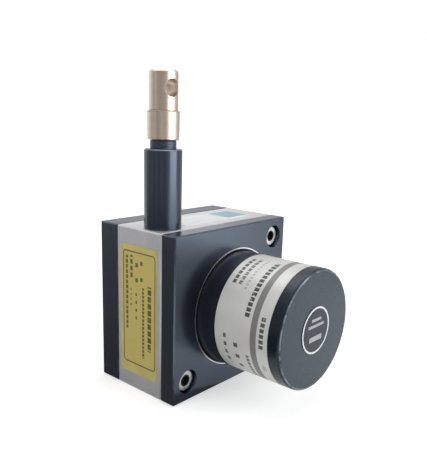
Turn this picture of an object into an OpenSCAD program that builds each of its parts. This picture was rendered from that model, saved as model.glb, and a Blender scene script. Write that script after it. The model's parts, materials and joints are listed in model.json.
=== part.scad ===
// Draw wire encoder: a spring-returned wire drum in a three-layer block, read by a rotary encoder.
// Millimetres. +Z is up, +Y points to the rear plate, and the encoder stands out towards -Y.
// The origin is the centre of the four mounting holes in the bottom face.

/* [Drum and wire] */
// Diameter of the smooth surface that the wire lies on
drum_d = 42.5; // [38:0.5:50]
// Diameter of the draw wire
wire_d = 0.6; // [0.4:0.1:0.8]
// Length of wire that can be drawn out
travel = 1000; // [500:50:1100]
// Turns that stay on the drum when the wire is fully out
dead_turns = 0.3; // [0.2:0.1:1]
// Free space between neighbouring turns of the wire
turn_gap = 0.1; // [0.05:0.05:0.2]
// Space between the wire and the drum's surface
lay_gap = 0.15; // [0.12:0.01:0.3]
// How far the drum's flanges stand above its surface
drum_flange_h = 1.4; // [1.2:0.1:2]
// Thickness of the drum's flanges
drum_flange_t = 1; // [0.8:0.1:1.4]
// Thickness of the drum's rim
drum_rim_t = 2; // [1.6:0.1:3]
// Thickness of the drum's web
drum_web_t = 2.5; // [1.5:0.1:3]
// Diameter of the drum's hub
drum_hub_d = 15; // [13:0.5:17]
// Space between the drum's hub and the front plate
hub_front_gap = 0.6; // [0.3:0.1:1]
// Space between the drum's hub and the spring cover
hub_rear_gap = 0.7; // [0.3:0.1:1.2]
// Diameter of the grub screws in the hub
grub_d = 2.5; // [2:0.5:3]
// Diameter of the lightening holes in the web
drum_hole_d = 7; // [4:0.5:8]

/* [Housing] */
// Thickness of the front plate
front_t = 6; // [5.6:0.1:8]
// Thickness of the middle layer, the drum housing
mid_t = 20.5; // [20.5:0.1:24]
// Thickness of the rear plate
rear_t = 8.5; // [8:0.1:10]
// Wall between the drum's chamber and the left face, on the wire's side
wall_left = 5.6; // [5.2:0.1:8]
// Wall between the drum's chamber and the right face
wall_right = 2.6; // [2:0.1:5]
// Wall between the drum's chamber and the bottom face
wall_bottom = 2.9; // [2:0.1:5]
// Wall between the drum's chamber and the top face
wall_top = 4.3; // [3:0.1:8]
// Space around the drum's flanges in its chamber
chamber_gap = 0.75; // [0.5:0.05:1.5]
// Bevel along the edges of the three layers
edge_bevel = 0.4; // [0.2:0.1:0.8]
// Distance of the plate screws from the side, top and bottom faces
screw_inset = 6.4; // [5.6:0.1:6.6]
// Thread diameter of the plate screws
screw_d = 4; // [3:0.5:4]
// Head diameter of the plate screws
screw_head_d = 7; // [6:0.1:7.4]
// Head height of the plate screws
screw_head_h = 2.8; // [2:0.1:3]
// Key size of the plate screws
screw_key = 3; // [2:0.5:3]
// Depth of the screw heads below the front face
screw_sink = 1.3; // [0.5:0.1:1.6]
// Space around the screw heads in their counterbores
counterbore_gap = 0.45; // [0.2:0.05:0.7]
// Spacing of the base mounting holes from left to right
base_hole_x = 32; // [30:0.5:34]
// Spacing of the base mounting holes from front to back
base_hole_y = 12; // [8:0.5:14]
// Diameter of the base mounting holes, tapped M4
base_hole_d = 3.3; // [2.5:0.1:3.4]
// Depth of the base mounting holes
base_hole_depth = 5; // [4:0.5:6]

/* [Wire outlet] */
// Diameter of the outlet tube
tube_d = 11.7; // [10:0.1:13]
// Height of the outlet tube above the housing
tube_h = 24.4; // [22:0.1:40]
// Distance of the outlet behind the front plate
outlet_y = 7.1; // [6.6:0.1:8.2]
// Diameter of the threaded foot of the tube
tube_foot_d = 7.8; // [7:0.1:8.4]
// Length of the threaded foot of the tube
tube_foot_l = 7; // [6:0.5:9]
// Bore of the tube
tube_bore_d = 5.2; // [4.4:0.1:5.4]
// Diameter of the nozzle's visible neck
nozzle_d = 8; // [7.4:0.1:8.6]
// Height of the nozzle's visible neck
nozzle_neck_h = 2.5; // [2:0.1:5]
// Diameter of the nozzle's plug in the tube
nozzle_plug_d = 6; // [5.8:0.1:6.6]
// Length of the nozzle's plug in the tube
nozzle_plug_l = 7.4; // [5:0.1:9]
// Height of the felt wiper
wiper_h = 4.8; // [3:0.1:6]
// Length of the guide bush
bush_l = 5; // [3:0.5:6]
// Width of the slot that the wire rises through
slot_w = 3; // [2:0.1:3.6]

/* [Wire end] */
// Diameter of the collar nut
nut_d = 9.7; // [9:0.1:11]
// Height of the collar nut
nut_h = 8.6; // [8.4:0.1:12]
// Diameter of the eye
eye_d = 8.6; // [8:0.1:9]
// Height of the eye above the collar nut
eye_h = 11.6; // [10:0.1:16]
// Diameter of the cross hole in the eye
eye_hole_d = 5.2; // [3:0.1:5.4]
// Distance of the cross hole's axis below the top
eye_hole_drop = 5; // [4:0.1:5]
// Turn of the cross hole away from the front, about the vertical
eye_turn = 5; // [0:1:90]
// Bevel on the brass edges
brass_bevel = 0.4; // [0.2:0.1:0.6]
// Diameter of the crimped ferrule
ferrule_d = 3.2; // [2:0.1:3.6]
// Length of the crimped ferrule
ferrule_l = 2.6; // [1.5:0.1:2.6]

/* [Return spring] */
// Space between the drum and the spring cover
spring_gap = 2.2; // [1.6:0.1:4]
// Thickness of the spring strip
spring_t = 0.25; // [0.15:0.05:0.3]
// Turns of the spring
spring_turns = 9; // [6:1:10]
// Space around the spring cup in the drum's chamber
cup_gap = 2.4; // [0.5:0.1:4]
// Thickness of the cup's wall
cup_wall = 1; // [0.8:0.1:1.4]
// Thickness of the cup's floor
cup_floor = 1.2; // [1:0.1:1.4]
// Thickness of the spring cover
spring_cover_t = 0.8; // [0.6:0.1:1]
// Diameter of the arbor that the spring winds on
arbor_d = 10; // [9:0.5:11]
// Wall of the rear plate behind its bearing
rear_wall = 1.15; // [1:0.05:1.6]
// Radius of the circle of the cup screws
cup_screw_r = 14.5; // [12:0.5:16]
// Thread diameter of the cup screws
cup_screw_d = 2; // [1.6:0.1:2.2]
// Diameter of the spring's anchor pin
pin_d = 1.6; // [1.2:0.1:2]

/* [Ball bearings] */
// Bore of the three bearings, and diameter of both shafts
shaft_d = 6; // [5.8:0.1:6]
// Outer diameter of the bearings
bearing_d = 13; // [13:0.1:14]
// Width of the bearings
bearing_w = 5; // [4.4:0.1:5]
// Diameter of the balls
ball_d = 2; // [1.8:0.1:2]
// Balls in each bearing
ball_n = 9; // [7:1:10]

/* [Rotary encoder] */
// Diameter of the encoder
enc_d = 38; // [36:0.5:40]
// How far the encoder's black flange stands proud of the front plate
enc_flange_l = 7.2; // [6:0.1:9]
// Length of the silver label along the encoder
enc_label_l = 20; // [18:0.5:24]
// Length of the black end of the cover
enc_end_l = 4.1; // [3.6:0.1:7]
// Rounding of the cover's end
enc_round = 1; // [0.5:0.1:1.5]
// Thickness of the labels and the badge
label_t = 0.15; // [0.1:0.05:0.2]
// Wall of the encoder cover
enc_wall = 1.4; // [1.2:0.1:1.6]
// Depth of the encoder's seat in the front plate
seat_depth = 2.5; // [1.5:0.1:2.8]
// Diameter of the encoder's pilot
pilot_d = 20; // [18:0.5:22]
// Radius of the circle of the encoder's mounting screws
enc_screw_r = 15; // [14:0.5:15.5]
// Thread diameter of the encoder's mounting screws
enc_screw_d = 3; // [2.5:0.5:3]
// How far the mounting screws reach into the encoder's flange
enc_screw_grip = 5.8; // [4:0.1:6]
// How far the encoder's shaft reaches into the drum's hub
shaft_grip = 7.6; // [6:0.1:8]
// Length of the code disc's hub
disc_hub_l = 3.4; // [3:0.1:4]
// Diameter of the code disc's hub
disc_hub_d = 9; // [8.6:0.1:10]
// Diameter of the two rings that clamp the code disc
disc_clamp_d = 13; // [12:0.2:14]
// Thickness of the code disc
disc_t = 0.5; // [0.3:0.1:0.7]
// Space between the code disc and the board's posts
disc_gap = 0.7; // [0.4:0.1:2]
// Distance of the track that the sensor reads from the disc's edge
track_inset = 1.3; // [1:0.1:1.8]
// Diameter of the lamp
lamp_d = 3; // [2:0.1:3]
// Thickness of the circuit board
board_t = 1.2; // [1:0.1:1.6]
// Space around the circuit board in the cover
board_gap = 0.45; // [0.2:0.05:1]
// Diameter of the board's posts
post_d = 3; // [2.6:0.1:3.2]
// Distance of the posts' axes from the board's edge
post_inset = 2; // [1.8:0.1:2.4]
// Thread diameter of the board's screws
board_screw_d = 2; // [1.6:0.1:2]
// Diameter of the badge on the cover's end
badge_d = 15.2; // [10:0.2:20]

/* [Cable inlet] */
// Thread diameter of the cable gland
gland_d = 8; // [7:0.5:9]
// Diameter of the gland's hexagonal collar, across its corners
gland_collar_d = 11; // [10:0.5:12]
// Wall of the gland's nut around the thread
gland_nut_wall = 0.8; // [0.7:0.1:1.2]
// Height of the gland's nut
gland_nut_h = 4.2; // [3:0.1:4.6]
// Height of the gland's hexagonal collar
gland_collar_h = 2; // [1.5:0.1:3]
// Height of the gland's thread above its collar
gland_thread_h = 2; // [1.5:0.1:2.2]
// Height of the flat pad under the gland
gland_pad_h = 0.6; // [0.4:0.1:1]
// Cable diameter that the gland takes
cable_d = 5; // [4:0.1:5.4]
// Space around the cable in the gland and its nut
cable_gap = 0.35; // [0.25:0.05:0.4]

/* [Labels] */
// Width of the side label
side_label_w = 17; // [12:0.5:18]
// Height of the side label
side_label_h = 43; // [30:1:46]
// Width of the top label
top_label_w = 34; // [20:1:34]
// Depth of the top label
top_label_d = 12; // [8:0.5:16]
// Distance of the top label from the outlet tube
top_label_gap = 0.85; // [0.5:0.05:4]
// Corner rounding of the flat labels
label_round = 1.2; // [0.5:0.1:2]

/* [Hidden] */
$fn = 72;
// Radial clearances of fits: a seat or thread, and a free pass
seat_gap = 0.02;
thread_gap = 0.05;
free_gap = 0.4;
// Space that a blind hole leaves beyond a screw's tip
tip_gap = 0.5;
// Gap between faces that meet
face_gap = 0.05;

// Drum and wire
drum_r = drum_d / 2;
wire_r = wire_d / 2;
pitch_r = drum_r + lay_gap + wire_r;
drum_turns = travel / (2 * PI * pitch_r);
wound_turns = drum_turns + dead_turns;
lay_pitch = wire_d + turn_gap;
wound_w = wound_turns * lay_pitch;
lay_margin = 1;
lay_w = wound_w + wire_d + 2 * lay_margin;
flange_r = drum_r + drum_flange_h;
// The crimped sleeve on the wire's inner end stands beside the last turn
anchor_d = 1.2;
anchor_l = 2.4;
anchor_shift = 0.5;
chamber_r = flange_r + chamber_gap;

// Block: the bottom face is z = 0, and the middle layer is centred on y = 0
body_w = wall_left + 2 * chamber_r + wall_right;
body_h = wall_bottom + 2 * chamber_r + wall_top;
mid_y0 = -mid_t / 2;
mid_y1 = mid_t / 2;
front_y0 = mid_y0 - front_t;
rear_y1 = mid_y1 + rear_t;
axis_x = body_w / 2 - wall_right - chamber_r;
axis_z = wall_bottom + chamber_r;

// Wire outlet: the wire leaves the drum as a tangent on the left
tube_x = axis_x - pitch_r;
tube_y = mid_y0 + outlet_y;
tube_top = body_h + tube_h;
foot_z = body_h - tube_foot_l;
nozzle_z = tube_top - nozzle_plug_l;
wiper_z = nozzle_z - wiper_h;
neck_top = tube_top + nozzle_neck_h;
lay_y0 = tube_y - wound_w / 2;
slot_rise = max(0, pow(chamber_r, 2) - pow(pitch_r + slot_w / 2, 2));
slot_z0 = axis_z + sqrt(slot_rise) - 1;

// Drum along its axis
drum_y0 = tube_y - lay_w / 2 - drum_flange_t;
drum_y1 = tube_y + lay_w / 2 + drum_flange_t;
hub_y0 = mid_y0 + hub_front_gap;
grub_y = drum_y0 + 0.6 * grub_d;
grub_n = 2;

// Return spring along the axis: the strip fills the space between the drum and the rear bearing
rear_bearing_y = rear_y1 - rear_wall - bearing_w;
strip_gap = 0.3;
spring_y1 = rear_bearing_y - strip_gap / 2;
floor_y = spring_y1 + strip_gap;
cup_y1 = floor_y + cup_floor;
pocket_y = cup_y1 + face_gap;
cover_y0 = drum_y1 + spring_gap;
cover_y1 = cover_y0 + spring_cover_t;
spring_y0 = cover_y1 + strip_gap;
spring_w = spring_y1 - spring_y0;
hub_y1 = cover_y0 - hub_rear_gap;
cup_r = chamber_r - cup_gap;
cup_in_r = cup_r - cup_wall;
arbor_r = arbor_d / 2;
rear_boss_wall = 2;
rear_boss_r = bearing_d / 2 + rear_boss_wall;
arbor_y0 = hub_y1 + face_gap;
arbor_y1 = rear_bearing_y - face_gap;
pin_at = cup_in_r - pin_d / 2 - 0.1;
pin_angle = 200;
spring_out_r = pin_at - pin_d / 2 - spring_t - face_gap;

// Encoder along the axis: its cover ends furthest from the plate
enc_r = enc_d / 2;
label_r = enc_r - label_t;
flange_y0 = front_y0 - enc_flange_l;
flange_y1 = front_y0 + seat_depth;
end_y1 = flange_y0 - enc_label_l;
end_y0 = end_y1 - enc_end_l;
cover_in_r = label_r - enc_wall;
pilot_gap = 0.75;
pilot_y1 = mid_y0 - pilot_gap;
bearing_a_y = pilot_y1 - bearing_w;
bearing_b_sink = 1.5;
bearing_b_y = flange_y0 + bearing_b_sink - bearing_w;
register_y0 = bearing_b_y;
shaft_r = shaft_d / 2;
shaft_y1 = hub_y0 + shaft_grip;
clamp_t = 0.4;
disc_hub_y1 = bearing_b_y - face_gap;
disc_y1 = disc_hub_y1 - disc_hub_l;
disc_y0 = disc_y1 - disc_t;
shaft_y0 = disc_y0 - clamp_t - 0.3;
mask_y1 = disc_y0 - clamp_t;
mask_t = 0.5;
sensor_t = 1;
board_y1 = mask_y1 - mask_t - sensor_t;
board_y0 = board_y1 - board_t;
label_gap_angle = 32;

// Encoder around the axis, from the cover inwards
board_r = cover_in_r - board_gap;
post_r = board_r - post_inset;
post_turn = 30;
disc_r = post_r - post_d / 2 - disc_gap;
track_r = disc_r - track_inset;
track_z = axis_z + track_r;
disc_spigot_r = shaft_r + 0.9;
board_screw_grip = 3.5;
board_screw_head_h = 1.2;

// Light path: the lamp's block, the mask and the sensor, wide across the track and high along it
sensor_w = 6;
sensor_h = 4;
mask_rim = 0.5;
block_w = 6;
block_h = 5;
block_inset = 2.2;

// Parts on the back of the board, as [x, z] from the axis and [width, height, thickness]
chips = [
    [[-9, -3], [8, 6, 1.5]],
    [[2, 1], [5, 4, 1.2]],
    [[-3, -10], [4, 3, 1]]
];
header_at = [3, -8];
header_size = [8, 5, 4];
header_wall = 1;

// Cable gland, on the right
gland_y = board_y0 - gland_d / 2 - free_gap;
gland_face = axis_x + enc_r + gland_pad_h;
gland_nut_d = gland_d + 2 * gland_nut_wall;

// Bearings: the balls run midway between the rings
ball_r = ball_d / 2;
ball_at = (shaft_d + bearing_d) / 4;
groove_gap = 0.05;
land = 0.35;
bearing_starts = [rear_bearing_y, bearing_a_y, bearing_b_y];

// Places of the three plate screws, as [x, z]
screw_sites = [
    [-body_w / 2 + screw_inset, screw_inset],
    [body_w / 2 - screw_inset, screw_inset],
    [body_w / 2 - screw_inset, body_h - screw_inset]
];
cbore_depth = screw_sink + screw_head_h;
cbore_r = screw_head_d / 2 + counterbore_gap;
enc_seat_r = enc_r + 0.25;
seat_bevel = 0.45;

// ---------------------------------------------------------------- helpers

// A rod along +Y from y0 to y1 with its axis at x, z
module rod_y(r, y0, y1, x = 0, z = 0) {
    translate([x, y0, z]) rotate([-90, 0, 0]) cylinder(r = r, h = y1 - y0);
}

// A rod or hole along the drum's axis
module axial(r, y0, y1) {
    rod_y(r, y0, y1, axis_x, axis_z);
}

// A cone along the drum's axis direction, from radius r0 at y0 to r1 at y1
module cone_y(r0, r1, y0, y1, x, z) {
    translate([x, y0, z]) rotate([-90, 0, 0]) cylinder(r1 = r0, r2 = r1, h = y1 - y0);
}

// A ring along the drum's axis
module ring_y(r_out, r_in, y0, y1) {
    difference() {
        axial(r_out, y0, y1);
        axial(r_in, y0 - 0.01, y1 + 0.01);
    }
}

// Puts children on a circle around the drum's axis, the first at angle a0 from +X towards +Z
module around(n, r, a0) {
    for (i = [0 : n - 1]) {
        a = a0 + i * 360 / n;
        translate([axis_x + r * cos(a), 0, axis_z + r * sin(a)]) children();
    }
}

// A flat outline of a rectangle w by h, centred, with bevelled corners
module bevel_outline(w, h, c) {
    polygon([
        [-w / 2 + c, -h / 2], [w / 2 - c, -h / 2], [w / 2, -h / 2 + c], [w / 2, h / 2 - c],
        [w / 2 - c, h / 2], [-w / 2 + c, h / 2], [-w / 2, h / 2 - c], [-w / 2, -h / 2 + c]
    ]);
}

// A box from y0 to y1 as wide and high as the block, with a bevel c on all its edges
module bevel_box(y0, y1, c) {
    t = y1 - y0;
    translate([0, (y0 + y1) / 2, body_h / 2]) intersection() {
        translate([0, 0, -body_h / 2]) linear_extrude(body_h) bevel_outline(body_w, t, c);
        rotate([90, 0, 0]) translate([0, 0, -t / 2])
            linear_extrude(t) bevel_outline(body_w, body_h, c);
        rotate([90, 0, 90]) translate([0, 0, -body_w / 2])
            linear_extrude(body_w) bevel_outline(t, body_h, c);
    }
}

// A flat rectangle w by h with round corners, t thick, lying on z = 0
module round_sheet(w, h, r, t) {
    x = w / 2 - r;
    y = h / 2 - r;
    union() {
        translate([-x, -h / 2, 0]) cube([2 * x, h, t]);
        translate([-w / 2, -y, 0]) cube([w, 2 * y, t]);
        for (sx = [-1, 1]) for (sy = [-1, 1]) translate([sx * x, sy * y, 0]) cylinder(r = r, h = t);
    }
}

// A round body of revolution about the vertical line of the wire outlet; points are [r, z]
module turned_at_outlet(points) {
    translate([tube_x, tube_y, 0]) rotate_extrude() polygon(points);
}

// A hexagonal socket cut along Y, with its mouth at y0 and key size across flats
module hex_y(key, y0, y1, x, z) {
    translate([x, y0, z]) rotate([-90, 0, 0]) cylinder(r = key / sqrt(3), h = y1 - y0, $fn = 6);
}

// A blind hole drilled upwards from z = 0, with the point that a drill leaves
module drilled(d, depth) {
    point_h = 0.3 * d;
    translate([0, 0, -1]) cylinder(d = d, h = depth + 1);
    translate([0, 0, depth]) cylinder(d1 = d, d2 = d / 20, h = point_h);
}

// A countersunk screw along Y with its head at y_head, its shank running towards -Y
module countersunk(d, y_head, y_tip, x, z) {
    head_h = d * 0.55;
    difference() {
        union() {
            cone_y(d / 2, d * 0.96, y_head - head_h, y_head, x, z);
            rod_y(d / 2, y_tip, y_head - head_h, x, z);
        }
        hex_y(d * 0.66, y_head - d * 0.4, y_head + 1, x, z);
    }
}

// The matching hole for a countersunk screw
module countersink(d, gap, y_head, y_end, x, z) {
    head_h = d * 0.55;
    cone_y(d / 2 + gap, d * 0.96 + gap, y_head - head_h - 0.01, y_head + 0.01, x, z);
    rod_y(d / 2 + gap, y_end, y_head, x, z);
}

// ---------------------------------------------------------------- block

module rear_plate() {
    color([0.16, 0.17, 0.2]) difference() {
        union() {
            difference() {
                bevel_box(mid_y1, rear_y1, edge_bevel);
                axial(cup_r + 2 * thread_gap, mid_y1 - 1, pocket_y);
            }
            axial(rear_boss_r, rear_bearing_y, pocket_y + 0.5);
        }
        axial(bearing_d / 2 + seat_gap, rear_bearing_y - 1, rear_bearing_y + bearing_w + face_gap);
        axial(shaft_r + 1, rear_bearing_y, rear_bearing_y + bearing_w + tip_gap);
        for (p = screw_sites) rod_y(screw_d / 2 + thread_gap, mid_y1 - 1, rear_y1 - 1.2, p[0], p[1]);
        around(3, cup_screw_r, 90) rod_y(cup_screw_d / 2 + thread_gap, mid_y1, rear_y1 - 1);
    }
}

module drum_housing() {
    color([0.72, 0.73, 0.76]) difference() {
        bevel_box(mid_y0, mid_y1, edge_bevel);
        axial(chamber_r, mid_y0 - 1, mid_y1 + 1);
        for (p = screw_sites) rod_y(screw_d / 2 + thread_gap, mid_y0 - 1, mid_y1 + 1, p[0], p[1]);
        // thread for the outlet tube, and the slot below it where the wire swings from turn to turn
        translate([tube_x, tube_y, foot_z - 0.3])
            cylinder(d = tube_foot_d + 2 * thread_gap, h = tube_foot_l + 1);
        translate([tube_x - slot_w / 2, lay_y0 - lay_margin, slot_z0])
            cube([slot_w, wound_w + 2 * lay_margin, foot_z - slot_z0]);
        for (sx = [-1, 1]) for (sy = [-1, 1])
            translate([sx * base_hole_x / 2, sy * base_hole_y / 2, 0]) drilled(base_hole_d, base_hole_depth);
    }
}

module front_plate() {
    color([0.25, 0.28, 0.33]) difference() {
        bevel_box(front_y0, mid_y0, edge_bevel);
        axial(enc_seat_r, front_y0 - 1, flange_y1);
        cone_y(enc_seat_r + seat_bevel, enc_seat_r, front_y0 - 0.01, front_y0 + seat_bevel, axis_x, axis_z);
        axial(pilot_d / 2 + seat_gap, flange_y1 - 1, mid_y0 + 1);
        for (p = screw_sites) {
            rod_y(screw_d / 2 + thread_gap, front_y0 - 1, mid_y0 + 1, p[0], p[1]);
            rod_y(cbore_r, front_y0 - 1, front_y0 + cbore_depth, p[0], p[1]);
        }
        around(3, enc_screw_r, 90) countersink(enc_screw_d, thread_gap, mid_y0, flange_y1 - 1, 0, 0);
    }
}

module plate_screws() {
    head_y = front_y0 + screw_sink;
    for (p = screw_sites) color([0.62, 0.62, 0.64]) difference() {
        union() {
            rod_y(screw_head_d / 2, head_y + 0.3, head_y + screw_head_h, p[0], p[1]);
            cone_y(screw_head_d / 2 - 0.3, screw_head_d / 2, head_y, head_y + 0.3, p[0], p[1]);
            rod_y(screw_d / 2, head_y + screw_head_h, rear_y1 - 1.8, p[0], p[1]);
        }
        hex_y(screw_key, head_y - 1, head_y + screw_head_h * 0.65, p[0], p[1]);
    }
}

// ---------------------------------------------------------------- wire outlet

module outlet_tube() {
    r = tube_d / 2;
    bore = tube_bore_d / 2;
    seat = nozzle_plug_d / 2 + seat_gap;
    color([0.13, 0.14, 0.17]) turned_at_outlet([
        [bore, foot_z], [tube_foot_d / 2, foot_z], [tube_foot_d / 2, body_h + face_gap / 2],
        [r, body_h + face_gap / 2], [r, tube_top - 0.4], [r - 0.4, tube_top], [seat, tube_top],
        [seat, wiper_z], [bore, wiper_z]
    ]);
}

module wire_nozzle() {
    r = nozzle_d / 2;
    plug = nozzle_plug_d / 2;
    hole = wire_r + 0.5;
    mouth = hole + 0.8;
    color([0.1, 0.1, 0.13]) turned_at_outlet([
        [hole, nozzle_z], [plug, nozzle_z], [plug, tube_top + face_gap], [r, tube_top + face_gap],
        [r, neck_top - 0.2], [r - 0.2, neck_top], [mouth, neck_top], [hole, neck_top - 0.8]
    ]);
}

module felt_wiper() {
    r = nozzle_plug_d / 2 - face_gap;
    color([0.85, 0.83, 0.76]) turned_at_outlet([
        [wire_r + 0.05, wiper_z + face_gap], [r, wiper_z + face_gap],
        [r, nozzle_z - face_gap], [wire_r + 0.05, nozzle_z - face_gap]
    ]);
}

// Ceramic eyelet with a round mouth, so that the wire bends over a smooth lip
module guide_bush() {
    r = tube_bore_d / 2 - seat_gap;
    hole = wire_r + 0.15;
    lip = min(r - hole - 0.3, 1.2);
    color([0.93, 0.92, 0.88]) turned_at_outlet(concat(
        [for (a = [0 : 15 : 90]) [hole + lip - lip * cos(a), foot_z + lip - lip * sin(a)]],
        [[r, foot_z], [r, foot_z + bush_l], [hole, foot_z + bush_l]]
    ));
}

// ---------------------------------------------------------------- return spring

module spring_cup() {
    color([0.55, 0.56, 0.58]) difference() {
        axial(cup_r, cover_y1 + face_gap, cup_y1);
        axial(cup_in_r, cover_y1 - 1, floor_y);
        axial(rear_boss_r + 0.15, floor_y - 1, cup_y1 + 1);
        around(3, cup_screw_r, 90)
            cone_y(cup_screw_d + 0.15, cup_screw_d / 2 + 0.15, floor_y - 0.01, cup_y1 + 0.01, 0, 0);
        around(1, pin_at, pin_angle) rod_y(pin_d / 2 + seat_gap, floor_y - 1, cup_y1 + 1);
    }
}

module spring_cover() {
    color([0.6, 0.61, 0.62]) difference() {
        axial(cup_r, cover_y0, cover_y1);
        axial(arbor_r + free_gap, cover_y0 - 1, cover_y1 + 1);
    }
}

module spring_pin() {
    color([0.7, 0.7, 0.72]) around(1, pin_at, pin_angle) rod_y(pin_d / 2, cover_y1 + 0.1, cup_y1);
}

module cup_screws() {
    color([0.66, 0.66, 0.68]) around(3, cup_screw_r, 90) difference() {
        union() {
            cone_y(cup_screw_d, cup_screw_d / 2, floor_y, cup_y1, 0, 0);
            rod_y(cup_screw_d / 2, cup_y1, rear_y1 - 1.5);
        }
        hex_y(1.3, floor_y - 1, floor_y + 0.7, 0, 0);
    }
}

// Flat spiral: it opens out quickly from the arbor, and its outer turns lie closer together
function spiral_r(u) = arbor_r + spring_t + (spring_out_r - arbor_r - spring_t) * pow(u, 0.45);
spring_steps = 32;
spring_n = spring_turns * spring_steps;
function spiral_side(offset) = [
    for (i = [0 : spring_n])
        let (a = pin_angle - 360 * (spring_n - i) / spring_steps, r = spiral_r(i / spring_n) + offset)
        [r * cos(a), r * sin(a)]
];
function reversed(v) = [for (i = [len(v) - 1 : -1 : 0]) v[i]];

module power_spring() {
    color([0.35, 0.4, 0.5]) translate([axis_x, spring_y1, axis_z]) rotate([90, 0, 0])
        linear_extrude(spring_w) polygon(concat(spiral_side(0), reversed(spiral_side(spring_t))));
}

// ---------------------------------------------------------------- ball bearings

module race_cut(y0) {
    translate([axis_x, y0 + bearing_w / 2, axis_z]) rotate([90, 0, 0])
        rotate_extrude() translate([ball_at, 0]) circle(r = ball_r + groove_gap, $fn = 36);
}

module bearing_outer(y0) {
    color([0.78, 0.79, 0.8]) difference() {
        ring_y(bearing_d / 2, ball_at + ball_r - land, y0, y0 + bearing_w);
        race_cut(y0);
    }
}

module bearing_inner(y0) {
    color([0.78, 0.79, 0.8]) difference() {
        ring_y(ball_at - ball_r + land, shaft_r + seat_gap, y0, y0 + bearing_w);
        race_cut(y0);
    }
}

module bearing_balls() {
    color([0.85, 0.86, 0.88]) for (y0 = bearing_starts)
        around(ball_n, ball_at, 0) translate([0, y0 + bearing_w / 2, 0]) sphere(r = ball_r, $fn = 24);
}

// Crown cages: a ring beside each row of balls, with a round pocket for every ball
module bearing_cages() {
    half = 0.45;
    for (y0 = bearing_starts) color([0.75, 0.65, 0.35]) difference() {
        ring_y(ball_at + half, ball_at - half, y0 + bearing_w / 2 + 0.25, y0 + bearing_w - 0.5);
        around(ball_n, ball_at, 0)
            translate([0, y0 + bearing_w / 2, 0]) sphere(r = ball_r + groove_gap, $fn = 24);
    }
}

module drum_bearing_outer() {
    bearing_outer(rear_bearing_y);
}

module drum_bearing_inner() {
    bearing_inner(rear_bearing_y);
}

module front_bearing_outer() {
    bearing_outer(bearing_a_y);
}

module front_bearing_inner() {
    bearing_inner(bearing_a_y);
}

module back_bearing_outer() {
    bearing_outer(bearing_b_y);
}

module back_bearing_inner() {
    bearing_inner(bearing_b_y);
}

// ---------------------------------------------------------------- drum and shafts

module wire_drum() {
    web_y = (drum_y0 + drum_y1 - drum_web_t) / 2;
    hole_r = (drum_hub_d / 2 + drum_r - drum_rim_t) / 2;
    color([0.8, 0.81, 0.83]) difference() {
        union() {
            ring_y(drum_r, drum_r - drum_rim_t, drum_y0, drum_y1);
            ring_y(flange_r, drum_r - drum_rim_t, drum_y0, drum_y0 + drum_flange_t);
            ring_y(flange_r, drum_r - drum_rim_t, drum_y1 - drum_flange_t, drum_y1);
            axial(drum_r - drum_rim_t + 0.5, web_y, web_y + drum_web_t);
            axial(drum_hub_d / 2, hub_y0, hub_y1);
        }
        axial(shaft_r + seat_gap, hub_y0 - 1, hub_y1 + 1);
        around(6, hole_r, 30) rod_y(drum_hole_d / 2, web_y - 1, web_y + drum_web_t + 1);
        for (i = [0 : grub_n - 1]) translate([axis_x, grub_y, axis_z]) rotate([0, 90 * i, 0]) {
            cylinder(d = grub_d + 2 * thread_gap, h = drum_hub_d);
            translate([0, 0, drum_hub_d / 2 + 0.5]) cylinder(d = grub_d + 0.3, h = drum_d);
        }
        anchor_cut();
    }
}

module anchor_place() {
    a = 180 + 360 * wound_turns;
    translate([axis_x + pitch_r * cos(a), lay_y0 + wound_w + anchor_shift, axis_z + pitch_r * sin(a)])
        rotate([0, -a, 0]) children();
}

module anchor_cut() {
    anchor_place() translate([0, 0, -anchor_l / 3]) cylinder(d = anchor_d + 0.2, h = anchor_l + free_gap);
}

// Crimped sleeve that holds the inner end of the wire on the drum
module wire_anchor() {
    color([0.75, 0.5, 0.32]) anchor_place() translate([0, 0, -anchor_l / 4]) difference() {
        cylinder(d = anchor_d, h = anchor_l);
        translate([0, 0, -1]) cylinder(r = wire_r + 0.08, h = 1 + anchor_l / 2);
    }
}

module grub_screws() {
    r0 = shaft_r + face_gap;
    l = drum_hub_d / 2 - r0 - 0.2;
    socket = grub_d / 2;
    for (i = [0 : grub_n - 1]) color([0.2, 0.2, 0.22])
        translate([axis_x, grub_y, axis_z]) rotate([0, 90 * i, 0]) translate([0, 0, r0]) difference() {
            cylinder(d = grub_d, h = l);
            translate([0, 0, l - socket]) cylinder(d = socket / cos(30), h = 2 * socket, $fn = 6);
        }
}

// Faces of a closed tube whose points are rings, each with the same number of sides
function tube_faces(rings, sides) = concat(
    [[for (k = [0 : sides - 1]) k]],
    [[for (k = [sides - 1 : -1 : 0]) (rings - 1) * sides + k]],
    [for (i = [0 : rings - 2]) for (k = [0 : sides - 1])
        let (m = (k + 1) % sides, p = i * sides, q = p + sides)
        [p + k, q + k, q + m, p + m]]
);

// One wound layer, a helix on the drum; the wire leaves it at the left, where the tube stands.
// Its last quarter turn steers sideways into the anchor.
helix_steps = 40;
helix_sides = 6;
function lay_y(t) = lay_y0 + wound_w * t + anchor_shift * pow(max(0, 1 - 4 * wound_turns * (1 - t)), 2);
module wound_wire() {
    n = ceil(wound_turns * helix_steps);
    points = [
        for (i = [0 : n]) let (t = i / n, a = 180 + 360 * wound_turns * t)
            for (k = [0 : helix_sides - 1]) let (b = 360 * k / helix_sides, r = pitch_r + wire_r * cos(b))
                [axis_x + r * cos(a), lay_y(t) + wire_r * sin(b), axis_z + r * sin(a)]
    ];
    color([0.6, 0.61, 0.63])
        polyhedron(points = points, faces = tube_faces(n + 1, helix_sides), convexity = 12);
}

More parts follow.
